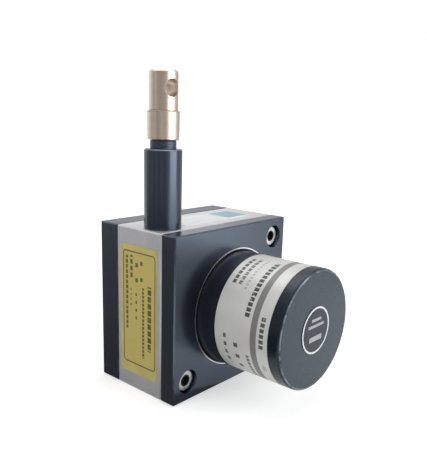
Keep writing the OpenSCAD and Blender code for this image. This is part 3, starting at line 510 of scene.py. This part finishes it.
class FitScrews(bpy.types.Operator):
    """Finish the plate, encoder, cup, board and grub screws"""
    bl_idname = "wire_encoder.fit_screws"
    bl_label = "Fit screws"

    def execute(self, context):
        low, high = corners("plate_screws")
        teeth = 44
        socket_r, socket_depth = 1.85, 2.6

        def socket(finish):
            """Painted shade in each plate screw's socket and in the grooves of the knurl round its head."""
            x, y, z = finish.xyz()
            rise = least(abs(z - (low.z + SCREW_HEAD_R)), abs(z - (high.z - SCREW_HEAD_R)))
            side = abs(x) - (high.x - SCREW_HEAD_R)
            radius = length(side, rise)
            bottom = low.y + socket_depth
            # painted shade inside each socket
            dark = (1 - finish.step(radius, socket_r, socket_r + 0.25)) * (1 - finish.step(y, bottom, bottom + 0.3))
            # painted shade in the knurl's grooves
            ridges = finish.step(sine(bearing(rise, side) * (DEGREE * teeth)), -0.2, 0.5)
            knurl = ridges * finish.step(radius, SCREW_HEAD_R - 0.15, SCREW_HEAD_R - 0.05)
            return [layer(dark, PAINTED_SOCKET_SHADE, metallic=0.0, roughness=0.5),
                    layer(knurl * 0.8, PAINTED_KNURL_SHADE, metallic=0.4, roughness=0.5)]

        head = grained("plate_screw_zinc", (0.66, 0.67, 0.69), grain=0.35, depth=0.004,
                       metallic=1.0, roughness=0.28, layers=socket)
        zinc = grained("zinc_screws", (0.62, 0.63, 0.65), grain=0.35, depth=0.004, metallic=1.0)
        oxide = grained("black_oxide_screws", (0.05, 0.05, 0.055), grain=0.3, depth=0.004, metallic=0.7, roughness=0.42)
        use(head, "plate_screws")
        use(zinc, "encoder_screws", "cup_screws", "board_screws")
        use(oxide, "grub_screws", "shaft_circlip")
        return {"FINISHED"}


class StickLabels(bpy.types.Operator):
    """Print the side, top and encoder labels and the badge"""
    bl_idname = "wire_encoder.stick_labels"
    bl_label = "Stick labels"

    def side_label(self):
        """Yellow film with a thin frame and columns of plain dashes."""
        finish = new_finish("yellow_side_label")
        yellow = colours().yellow_film[:]
        centre = middle("side_label")
        x, y, z = finish.xyz()
        across, up = y - centre.y, z - centre.z
        outline = card(finish, across + 0.42, up - 0.75, half_across=7.4, half_up=18.7, corner=1.2)
        frame_line = finish.inside(outline, -0.2, 0.2, 0.06)
        cloud = finish.noise(7.0, 3.0)
        fibre = finish.noise(0.25, 2.0)
        # columns as: distance from the middle towards the rear, width, top, bottom, pitch, fill
        columns = [
            (-5.3, 1.7, 9.5, -12.0, 2.25, 0.82),
            (-2.4, 1.0, 8.5, -15.0, 1.3, 0.7),
            (-1.6, 1.1, 17.6, 10.2, 5.2, 0.24),
            (0.7, 1.2, 18.2, 9.8, 4.9, 0.28),
            (0.9, 0.7, 7.5, -3.4, 2.6, 0.4),
            (3.1, 1.1, 18.2, 10.8, 2.2, 0.7),
            (3.4, 0.6, 7.4, 1.0, 1.7, 0.4),
            (5.3, 1.0, 18.0, -6.5, 1.7, 0.76)
        ]
        ink = frame_line
        for place, width, top, bottom, pitch, fill in columns:
            ink = most(ink, print_row(finish, up, bottom, top, across, place, width, pitch, fill))
        golden = tuple(part * share for part, share in zip(yellow, GOLDEN_SHARE))
        layers = [layer(1 - finish.step(outline, -0.2, 0.2), golden), layer(ink * 0.88, BROWN_INK, roughness=0.4)]
        return layered(finish, mottled(finish, yellow, cloud, 0.35, dark=0.94, light=1.05), 0.0,
                       0.42 + (fibre - 0.5) * 0.12, layers, {"Normal": finish.bump(fibre, 0.004)})

    def top_label(self):
        """White film with a pale blue patch at its right end."""
        finish = new_finish("white_top_label")
        tint = colours()
        low, high = corners("top_label")
        x, y, z = finish.xyz()
        deep = y - (low.y + high.y) / 2
        patch_edge = card(finish, x - (high.x - 6.0), deep, half_across=5.2, half_up=5.0, corner=0.6)
        frame_edge = card(finish, x - (low.x + 12.0), deep, half_across=11.4, half_up=5.4, corner=0.8)
        patch = 1 - finish.step(patch_edge, -0.05, 0.05)
        frame_line = finish.inside(frame_edge, -0.12, 0.12, 0.05)
        fibre = finish.noise(0.3, 2.0)
        cloud = finish.noise(6.0, 2.0)
        film = mottled(finish, tint.white_film[:], cloud, 0.35, dark=0.96, light=1.0)
        layers = [layer(patch, tint.blue_patch[:]), layer(frame_line * 0.35, FRAME_GREY)]
        return layered(finish, film, 0.0, 0.32 + (fibre - 0.5) * 0.1, layers, {"Normal": finish.bump(fibre, 0.003)})

    def encoder_label(self):
        """Silver film round the encoder, with a grey band and rows of plain dashes."""
        finish = new_finish("silver_encoder_label")
        tint = colours()
        x, y, z = finish.xyz()
        reach = DEGREE * ENCODER_R
        around = round_encoder(x, z) * reach
        back = corners("encoder_label")[1].y - y
        band = finish.inside(back, 13.6, 15.8)
        # rows as: distance from the flange, width, first and last angle, pitch, fill, darkness
        rows = [
            (2.6, 1.3, 99, 137, 1.75, 0.78, 0.9),
            (5.0, 1.3, 98, 136, 1.75, 0.78, 0.75),
            (7.6, 0.9, 98, 140, 1.3, 0.6, 0.35),
            (11.6, 1.7, 99, 164, 1.6, 0.74, 0.95),
            (17.6, 1.5, 159, 189, 1.65, 0.7, 0.9),
            (3.9, 1.1, 180, 220, 2.9, 0.5, 0.85),
            (8.0, 1.5, 186, 222, 4.2, 0.36, 0.9),
            (12.0, 1.1, 200, 232, 1.5, 0.72, 0.85),
            (17.8, 1.3, 204, 214, 3.4, 0.7, 0.35)
        ]
        ink = None
        for place, width, first, last, pitch, fill, dark in rows:
            row = print_row(finish, around, first * reach, last * reach, back, place, width, pitch, fill) * dark
            ink = row if ink is None else most(ink, row)
        brush = finish.noise(0.5, 2.0, (6, 0.3, 6))
        cloud = finish.noise(8.0, 2.0)
        film = mottled(finish, tint.silver_film[:], cloud, 0.3, dark=0.95, light=1.03)
        layers = [layer(band, tint.grey_band[:], metallic=0.1), layer(ink, tint.ink[:], metallic=0.0, roughness=0.4)]
        return layered(finish, film, 0.15, 0.36 + (brush - 0.5) * 0.16, layers, {"Normal": finish.bump(brush, 0.004)})

    def badge(self):
        """Dark film with a printed ring and three plain bars."""
        finish = new_finish("dark_badge_film")
        tint = colours()
        low, high = corners("cover_badge")
        centre = (low + high) / 2
        x, y, z = finish.xyz()
        across, up = x - centre.x, z - centre.z
        rim = (high.x - low.x) / 2 - 0.15
        ring = finish.inside(length(across, up), rim - sizes().badge_ring * MM, rim)
        bars = None
        # bars as: height over the middle, half length, thickness
        for rise, reach, thick in ((3.4, 2.6, 0.9), (1.5, 4.2, 0.9), (-2.6, 3.4, 1.6)):
            bar = finish.inside(up, rise - thick / 2, rise + thick / 2) * finish.inside(across, -reach, reach)
            bars = bar if bars is None else most(bars, bar)
        worn = finish.noise(0.8, 2.0)
        mark = most(ring * finish.step(worn, 0.2, 0.42), bars * 0.5)
        layers = [layer(mark, PRINT_WHITE, metallic=0.0, roughness=0.35)]
        film = finish.mix(worn, scaled(tint.moulded_black, 0.9), scaled(tint.moulded_black, 1.5))
        return layered(finish, film, 0.0, 0.27 + (worn - 0.5) * 0.1, layers,
                       {"Normal": finish.bump(mark, 0.02), "Specular Tint": rgba(tint.cold_gloss)})

    def execute(self, context):
        use(self.side_label(), "side_label")
        use(self.top_label(), "top_label")
        use(self.encoder_label(), "encoder_label")
        use(self.badge(), "cover_badge")
        return {"FINISHED"}


class DressOutlet(bpy.types.Operator):
    """Finish the outlet tube, nozzle, felt wiper and guide bush"""
    bl_idname = "wire_encoder.dress_outlet"
    bl_label = "Dress wire outlet"

    def execute(self, context):
        tint = colours()
        low, high = corners("outlet_tube")
        wall = (high.x - low.x) / 2

        def rim(finish):
            """The tube's upper edge, rubbed to the metal in places."""
            x, y, z = finish.xyz()
            edge = most(wall - off_tube_axis(x, y), high.z - z)
            return [layer(rubbed(finish, edge, 0.3) * 0.5, tint.bare_alloy[:], metallic=0.95, roughness=0.34)]

        tube = turned("black_outlet_tube", tint.black_anodise[:], TUBE_AXIS, "z", metallic=0.0, roughness=0.20,
                      depth=0.0015, sockets=cold(1.88), layers=rim)
        nozzle = grained("moulded_nozzle", (0.024, 0.025, 0.044), grain=0.3, depth=0.006, roughness=0.40,
                         sockets=cold(1.7))
        felt = grained("pressed_felt", (0.75, 0.72, 0.62), grain=0.35, depth=0.08, roughness=0.9, spread=0.2)
        ceramic = grained("glazed_ceramic", (0.86, 0.85, 0.80), grain=0.8, depth=0.002, roughness=0.12, spread=0.03,
                          sockets={"Coat Weight": 0.4})
        use(tube, "outlet_tube")
        use(nozzle, "wire_nozzle")
        use(felt, "felt_wiper")
        use(ceramic, "guide_bush")
        return {"FINISHED"}


class TurnBrassEnd(bpy.types.Operator):
    """Finish the collar nut, the eye and the crimps on the wire"""
    bl_idname = "wire_encoder.turn_brass_end"
    bl_label = "Turn brass wire end"

    def execute(self, context):
        low, high = corners("collar_nut")
        wall = (high.x - low.x) / 2

        def streaks_joint_and_edges(finish):
            """Upright streaks, partly tarnished and partly painted reflection bands; a dark joint over the nut and
            brighter edges on it.
            """
            x, y, z = finish.xyz()
            joint = finish.inside(z, high.z - 0.35, high.z + 0.25, 0.15)
            # the upright streaks are partly tarnished brass and partly painted darker reflection bands
            streak = finish.step(finish.noise(2.0, 1.0, (1, 1, 40)), 0.44, 0.62)
            edge = most(wall - off_tube_axis(x, y), least(z - low.z, high.z - z))
            return [layer(streak * 0.6, TARNISH_AND_REFLECTION_BAND), layer(joint * 0.8, JOINT_SHADE, roughness=0.5),
                    layer(rubbed(finish, edge, 0.4) * 0.15, BRIGHT_BRASS)]

        brass = turned("turned_brass", colours().brass[:], TUBE_AXIS, "z", roughness=0.31, depth=0.0006,
                       layers=streaks_joint_and_edges)
        copper = grained("crimped_copper", (0.72, 0.42, 0.25), grain=0.4, depth=0.01, metallic=1.0, roughness=0.32)
        use(brass, "wire_eye", "collar_nut")
        use(copper, "wire_ferrule", "wire_anchor")
        return {"FINISHED"}


class LayDrawWire(bpy.types.Operator):
    """Make the stranded draw wire and finish the turns on the drum"""
    bl_idname = "wire_encoder.lay_draw_wire"
    bl_label = "Lay draw wire"

    def strands(self, name, straight):
        """Bright strands that turn round the wire with painted shade in the grooves between, drawn at true size however
        far the wire is pulled out.
        """
        finish = new_finish(name)
        x, y, z = finish.xyz()
        if straight:
            turn = bearing(y - TUBE_AXIS.y, x - TUBE_AXIS.x) * DEGREE
            along = z
        else:
            turn = (off_encoder_axis(x, z) + y * 0.7) * (math.pi / (2 * WIRE_R))
            along = round_encoder(x, z) * (DEGREE * LAY_R)
        count = float(sizes().wire_strands)
        lay = sizes().wire_lay * MM
        strand = sine(turn * count + along * (FULL_TURN / lay * count)) * 0.5 + 0.5
        dirt = finish.noise(0.5, 2.0)
        # the dark colour between the strands is painted shade in the grooves
        colour = finish.mix(strand, (0.16, 0.16, 0.17), (0.66, 0.66, 0.68))
        return layered(finish, colour, 1.0, 0.34 + (dirt - 0.5) * 0.16, [], {"Normal": finish.bump(strand, 0.05)})

    def rod(self, name, route, radius, sides):
        """A round rod with level rings along a route of points, closed at both ends. Millimetres."""
        verts, faces = [], []
        for point in route:
            for side in range(sides):
                turn = FULL_TURN * side / sides
                verts.append((point + Vector((math.cos(turn), math.sin(turn), 0)) * radius) / MM)
        for ring in range(len(route) - 1):
            for side in range(sides):
                here, there = ring * sides + side, ring * sides + (side + 1) % sides
                faces.append((here, there, there + sides, here + sides))
        faces.append(tuple(range(sides))[::-1])
        faces.append(tuple(len(verts) - sides + side for side in range(sides)))
        mesh = bpy.data.meshes.new(name)
        mesh.from_pydata(verts, [], faces)
        mesh.polygons.foreach_set("use_smooth", [len(face) == 4 for face in faces])
        return bpy.data.objects.new(name, mesh)

    def execute(self, context):
        # the route: a tangent off the drum beside its first turn, so that turning the drum leaves it free,
        # a swing to the guide, then straight up the tube into the ferrule
        low, high = corners("draw_wire")
        ring_step, swing_rise, grip = 0.9, 5.8, 2.4
        x, y_top = TUBE_AXIS.x, TUBE_AXIS.y
        y_drum = low.y + WIRE_R - 2.1 * WIRE_R
        guide = Vector((x, y_top, corners("guide_bush")[0].z))
        stops = [Vector((x, y_drum, low.z)), Vector((x, y_drum, ENCODER_AXIS.z + swing_rise)), guide,
                 Vector((x, y_top, high.z))]
        route = []
        for first, last in zip(stops, stops[1:]):
            count = max(2, round((last - first).length / ring_step))
            route += [first.lerp(last, i / count) for i in range(count)]
        route.append(stops[-1])
        wire = self.rod("stranded_wire", route, WIRE_R, sides=20)
        wire.data.materials.append(self.strands("stranded_draw_wire", True))
        context.scene.collection.objects.link(wire)
        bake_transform(wire)
        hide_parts("draw_wire")
        use(self.strands("wound_draw_wire", False), "wound_wire")
        return {"FINISHED"}


class DressEncoder(bpy.types.Operator):
    """Finish the encoder's flange, cover, seal and cable gland"""
    bl_idname = "wire_encoder.dress_encoder"
    bl_label = "Dress encoder"

    def execute(self, context):
        tint = colours()
        low, high = corners("encoder_cover")
        face_depth, bevel = 0.25, 0.6
        lacquer = cold(1.48)
        lacquer["Coat Roughness"] = 0.25

        def end_face(finish):
            """The cover's lacquered end face, and its edge, rubbed a little paler and given a painted highlight."""
            x, y, z = finish.xyz()
            face = 1 - finish.step(y, low.y + face_depth, low.y + 2 * face_depth)
            lacquer["Coat Weight"] = face * 0.22
            edge = most(abs(ENCODER_R - off_encoder_axis(x, z) - bevel), abs(y - low.y - 0.1))
            worn = finish.step(finish.noise(3.0, 2.0), 0.35, 0.6)
            # the paler patches along the rim are partly wear and partly painted highlight
            return [layer(face, FACE_SLATE),
                    layer((1 - finish.step(edge, 0.12, 0.36)) * worn * 0.75, WORN_AND_HIGHLIT_SLATE, roughness=0.24)]

        # grained makes the layers before it reads these sockets, so it finds the coat that end_face adds
        cover = grained("moulded_cover", tint.moulded_black[:], grain=0.28, depth=0.004, roughness=0.28, spread=0.1,
                        sockets=lacquer, layers=end_face)
        flange = turned("black_flange", tint.flange_black[:], ENCODER_AXIS, "y", metallic=0.0, roughness=0.34,
                        depth=0.001, sockets=cold())
        rubber = grained("nitrile_seal", (0.03, 0.03, 0.03), grain=0.25, depth=0.01, roughness=0.62)
        nickel = turned("nickel_gland", (0.66, 0.65, 0.62), middle("cable_gland"), "y", roughness=0.24, depth=0.003)
        use(cover, "encoder_cover")
        use(flange, "encoder_flange")
        use(rubber, "cover_seal", "gland_insert")
        use(nickel, "cable_gland", "gland_nut")
        return {"FINISHED"}


class FitDrum(bpy.types.Operator):
    """Finish the drum, the shafts and the ball bearings"""
    bl_idname = "wire_encoder.fit_drum"
    bl_label = "Fit drum and bearings"

    def execute(self, context):
        alloy = turned("turned_drum", (0.68, 0.69, 0.71), ENCODER_AXIS, "y")
        steel = turned("ground_steel", (0.60, 0.60, 0.62), ENCODER_AXIS, "y", roughness=0.20, depth=0.002)
        balls = grained("polished_balls", (0.75, 0.75, 0.77), grain=0.3, depth=0.0005, metallic=1.0, roughness=0.08,
                        spread=0.03)
        brass = turned("inner_brass", colours().brass[:], ENCODER_AXIS, "y", roughness=0.28)
        use(alloy, "wire_drum")
        use(steel, "drum_shaft", "encoder_shaft", "spring_pin", "drum_bearing_outer", "drum_bearing_inner",
            "front_bearing_outer", "front_bearing_inner", "back_bearing_outer", "back_bearing_inner")
        use(balls, "bearing_balls")
        use(brass, "bearing_cages", "disc_hub", "disc_clamp", "board_posts")
        return {"FINISHED"}


class FitSpring(bpy.types.Operator):
    """Finish the return spring, its cup and its cover"""
    bl_idname = "wire_encoder.fit_spring"
    bl_label = "Fit return spring"

    def execute(self, context):
        zinc = grained("zinc_sheet", (0.55, 0.55, 0.57), grain=0.5, depth=0.004, metallic=1.0, roughness=0.36,
                       spread=0.1)
        blued = grained("blued_strip", (0.20, 0.25, 0.38), grain=0.4, depth=0.003, metallic=1.0, roughness=0.28,
                        spread=0.25)
        use(zinc, "spring_cup", "spring_cover")
        use(blued, "power_spring")
        return {"FINISHED"}


class FitOptics(bpy.types.Operator):
    """Finish the code disc, mask, lamp, sensor and circuit board"""
    bl_idname = "wire_encoder.fit_optics"
    bl_label = "Fit disc and board"

    def coded(self, name, slots=250):
        """Glass with a ring of fine dark slots near its edge."""
        finish = new_finish(name)
        x, y, z = finish.xyz()
        low, high = corners("code_disc")
        edge = (high.x - low.x) / 2
        margin, slot_length = 0.5, 1.8
        slot = (round_encoder(x, z) % (360 / slots)) < 180 / slots
        track = finish.inside(off_encoder_axis(x, z), edge - margin - slot_length, edge - margin) * slot
        grime = finish.noise(1.2, 2.0)
        glass = finish.mix(grime, (0.70, 0.82, 0.87), (0.78, 0.88, 0.92))
        return layered(finish, glass, 0.0, 0.06 + grime * 0.04,
                       [layer(track, (0.02, 0.02, 0.022), metallic=0.6, roughness=0.3)],
                       {"Alpha": 0.35 + track * 0.6, "Normal": finish.bump(grime, 0.001)})

    def board(self):
        """Green board with paler tracks, which wind a little and break off in places."""
        finish = new_finish("green_board")
        x, y, z = finish.xyz()
        upright = sine(x * 2.6 + sine(z * 0.9) * 1.4) > 0.86
        level = sine(z * 2.9 + sine(x * 0.7) * 1.2) > 0.9
        weave = finish.noise(0.3, 2.0)
        tracks = most(upright, level) * finish.step(finish.noise(3.5, 0.0), 0.45, 0.52)
        resin = finish.mix(weave, (0.03, 0.18, 0.07), (0.05, 0.26, 0.11))
        return layered(finish, resin, 0.0, 0.3 + (weave - 0.5) * 0.1,
                       [layer(tracks * 0.6, (0.10, 0.38, 0.17), roughness=0.25)],
                       {"Normal": finish.bump(tracks, 0.03)})

    def execute(self, context):
        lamp = grained("tinted_lamp", (0.60, 0.10, 0.08), grain=0.6, depth=0.001, roughness=0.14, spread=0.1,
                       sockets={"Coat Weight": 0.5})
        resin = grained("dark_resin", (0.035, 0.035, 0.04), grain=0.2, depth=0.006, roughness=0.45)
        nylon = grained("cream_nylon", (0.80, 0.77, 0.68), grain=0.3, depth=0.005, roughness=0.42, spread=0.05)
        use(self.coded("coded_disc"), "code_disc")
        use(self.coded("coded_mask"), "mask_plate")
        use(lamp, "lamp")
        use(resin, "lamp_block", "light_sensor", "board_chips")
        use(nylon, "wire_header")
        use(self.board(), "circuit_board")
        return {"FINISHED"}


class SetStage(bpy.types.Operator):
    """Set the floor, the softboxes, the room light and the camera"""
    bl_idname = "wire_encoder.set_stage"
    bl_label = "Set stage"

    def softbox(self, context, name, place, aim, width, height, brightness, shine=True):
        """A rectangular lamp aimed at a point, which reflections see if it has shine. Metres."""
        lamp = bpy.data.lights.new(name, "AREA")
        lamp.shape = "RECTANGLE"
        lamp.size, lamp.size_y = width, height
        lamp.energy = brightness * math.pi * width * height
        held = bpy.data.objects.new(name, lamp)
        held.location = place
        held.rotation_euler = (Vector(aim) - Vector(place)).to_track_quat("-Z", "Y").to_euler()
        context.scene.collection.objects.link(held)
        held.visible_glossy = shine

    def around(self, centre, azimuth, distance, rise):
        """The point at this azimuth (0 in front, 90 on the right), distance and rise from the centre. Metres."""
        turn = math.radians(azimuth)
        return centre + Vector((math.sin(turn) * distance, -math.cos(turn) * distance, rise))

    def sheet(self, context, name, points, faces, material):
        """A sheet of the stage."""
        mesh = bpy.data.meshes.new(name)
        mesh.from_pydata([tuple(p) for p in points], [], faces)
        mesh.materials.append(material)
        made = bpy.data.objects.new(name, mesh)
        context.scene.collection.objects.link(made)
        return made

    def curtain(self, context, name, centre, ground, turns, level, shade):
        """A hanging curtain with its mat round part of the object, seen by reflections alone.

        turns are the azimuths of its folds, level its grey, and shade the mat's share of that grey near the object."""
        fold_count, fold_depth = 12, 0.2
        mat_near, mat_far = 290.0, 430.0
        mat_start, wall_distance, wall_height = 0.16, 0.9, 0.9
        sideways = 70
        fade_first, fade_last, fade_soft = 12, 8, 8.0
        lift = 0.0004
        open_grey = 0.95

        cloth = new_finish(name)
        x, y, z = cloth.xyz()
        across, deep = x - centre.x * MM, y - centre.y * MM
        facing = bearing(across, -1.0 * deep)
        folds = sine(facing * (DEGREE * fold_count)) * 0.5 + 0.5
        near = 1 - cloth.step(length(across, deep), mat_near, mat_far)
        tone = cloth.mix(folds, (level * (1 - fold_depth),) * 3, (level * (1 + fold_depth),) * 3)
        tone = cloth.mix(near, tone, (level * shade,) * 3)
        # a curtain on the left fades at its ends, so that no hard edge shows on the rear plate
        first, last = turns[0] % 360 + fade_first, turns[-1] % 360 - fade_last
        kept = cloth.inside(facing, first, last, fade_soft) if turns[0] < 0 else 1.0
        tone = cloth.mix(kept, (open_grey,) * 3, tone)
        cloth.surface({"Base Color": (0, 0, 0, 1), "Specular IOR Level": 0.0, "Emission Color": tone,
                       "Emission Strength": 1.0})

        points, faces = [], []
        floor_rise = ground - centre.z + lift
        for turn in turns:
            start = 0.0 if abs(turn) > sideways else mat_start
            for distance, rise in ((start, 0.0), (wall_distance, 0.0), (wall_distance, wall_height)):
                points.append(self.around(centre, turn, distance, floor_rise + rise))
        for here in range(0, len(points) - 3, 3):
            faces += [(here, here + 1, here + 4, here + 3), (here + 1, here + 2, here + 5, here + 4)]
        made = self.sheet(context, name, points, faces, cloth.owner)
        made.visible_camera = made.visible_diffuse = made.visible_transmission = made.visible_shadow = False

    def backdrop_share(self, finish):
        """1 for what the camera, a reflection or glass sees, 0 for light that falls on the object."""
        path = finish.node("ShaderNodeLightPath", output="Is Camera Ray")
        return least(path + path.output("Is Glossy Ray") + path.output("Is Transmission Ray"), 1.0)

    def floor(self, context, centre, ground):
        """White paper under the object. Farther off it glows into the white background."""
        half = 2.5
        finish = new_finish("white_floor")
        seen = self.backdrop_share(finish)
        direct = finish.node("ShaderNodeLightPath", output="Is Camera Ray")
        x, y, z = finish.xyz()
        far = finish.step(length(x - centre.x * MM, y - centre.y * MM), 90.0, 420.0)
        reflected = finish.mix(far, (0.3, 0.3, 0.3), (0.55, 0.55, 0.55))
        glow = finish.mix(direct, reflected, finish.mix(far, (0.5, 0.5, 0.5), (1, 1, 1)))
        paper = finish.mix(finish.noise(40.0, 2.0), (0.86, 0.86, 0.865), (0.88, 0.88, 0.885))
        finish.surface({"Base Color": paper, "Roughness": 0.9, "Specular IOR Level": 0.0,
                        "Emission Color": finish.mix(seen, (0, 0, 0), glow), "Emission Strength": 1.0})
        points = [(-half, -half, ground), (half, -half, ground), (half, half, ground), (-half, half, ground)]
        self.sheet(context, "floor", points, [(0, 1, 2, 3)], finish.owner)

    def room(self, scene, light):
        """An even light all round, with a white background."""
        room = Finish(bpy.data.worlds.new("white_room"))
        seen = self.backdrop_share(room)
        sky = room.node("ShaderNodeBackground", None, {"Color": room.mix(seen, (light, light, light), (1, 1, 1))})
        room.node("ShaderNodeOutputWorld", None, {"Surface": sky})
        scene.world = room.owner

    def camera(self, scene, lens):
        """The camera, to the left of the front and a little above, turned slightly about its own axis."""
        place = Vector((-0.14069, -0.13127, 0.08821))
        azimuth, elevation, roll = (math.radians(a) for a in (-49.21, 13.07, 1.765))
        camera = bpy.data.cameras.new("camera")
        camera.lens = lens
        camera.sensor_width = 36.0
        camera.shift_x, camera.shift_y = -0.0155, 0.0551
        camera.clip_start = 0.01
        eye = bpy.data.objects.new("camera", camera)
        back = Vector((math.sin(azimuth) * math.cos(elevation), -math.cos(azimuth) * math.cos(elevation),
                       math.sin(elevation)))
        turn = back.to_track_quat("Z", "Y").to_matrix().to_4x4() @ Matrix.Rotation(roll, 4, "Z")
        eye.matrix_world = Matrix.Translation(place) @ turn
        scene.collection.objects.link(eye)
        scene.camera = eye

    def execute(self, context):
        scene = context.scene
        stage = scene.wire_encoder_stage
        low, high = CAD_BOX
        centre = (low + high) / 2
        self.floor(context, centre, low.z)
        self.room(scene, stage.room)

        # a standing softbox in front, one overhead and one on the left
        self.softbox(context, "front_softbox", self.around(centre, azimuth=19, distance=0.42, rise=0.12), centre,
                     width=0.38, height=0.34, brightness=stage.front_box)
        self.softbox(context, "top_softbox", centre + Vector((0.10, 0.12, 0.60)), centre,
                     width=0.60, height=0.60, brightness=stage.top_box)
        self.softbox(context, "side_softbox", self.around(centre, azimuth=-95, distance=0.60, rise=0.24), centre,
                     width=0.35, height=0.35, brightness=stage.side_box, shine=False)

        # grey curtains with a dark mat, which only reflections see, so that the side faces stay deep
        self.curtain(context, "left_curtain", centre, low.z, range(-165, -9, 5), stage.curtain, shade=0.32)
        self.curtain(context, "right_curtain", centre, low.z, range(55, 131, 5), stage.curtain * 1.3, shade=1.0)

        self.camera(scene, stage.lens)
        scene.view_settings.view_transform = "Standard"
        return {"FINISHED"}


STEPS = (SetStage, AnodiseBlock, FitScrews, StickLabels, DressOutlet, TurnBrassEnd, LayDrawWire, DressEncoder,
         FitDrum, FitSpring, FitOptics)


class WireEncoderPanel(bpy.types.Panel):
    """Lists the values and the steps of the draw wire encoder"""
    bl_idname = "VIEW3D_PT_wire_encoder"
    bl_label = "Wire Encoder"
    bl_space_type = "VIEW_3D"
    bl_region_type = "UI"
    bl_category = "Wire Encoder"

    def draw(self, context):
        scene = context.scene
        for title, group in (("Sizes", scene.wire_encoder_sizes), ("Colours", scene.wire_encoder_colours),
                             ("Stage", scene.wire_encoder_stage)):
            box = self.layout.box()
            box.label(text=title)
            for key in group.bl_rna.properties.keys():
                if key not in ("rna_type", "name"):
                    box.prop(group, key)
        for step in STEPS:
            self.layout.operator(step.bl_idname)


CLASSES = (WireEncoderSizes, WireEncoderColours, WireEncoderStage, *STEPS, WireEncoderPanel)


def register():
    for made in CLASSES:
        bpy.utils.register_class(made)
    bpy.types.Scene.wire_encoder_sizes = PointerProperty(type=WireEncoderSizes)
    bpy.types.Scene.wire_encoder_colours = PointerProperty(type=WireEncoderColours)
    bpy.types.Scene.wire_encoder_stage = PointerProperty(type=WireEncoderStage)


def unregister():
    del bpy.types.Scene.wire_encoder_stage
    del bpy.types.Scene.wire_encoder_colours
    del bpy.types.Scene.wire_encoder_sizes
    for made in reversed(CLASSES):
        bpy.utils.unregister_class(made)


def main():
    """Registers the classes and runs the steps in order."""
    register()
    for step in STEPS:
        group, name = step.bl_idname.split(".")
        getattr(getattr(bpy.ops, group), name)()


if __name__ == "__main__":
    main()
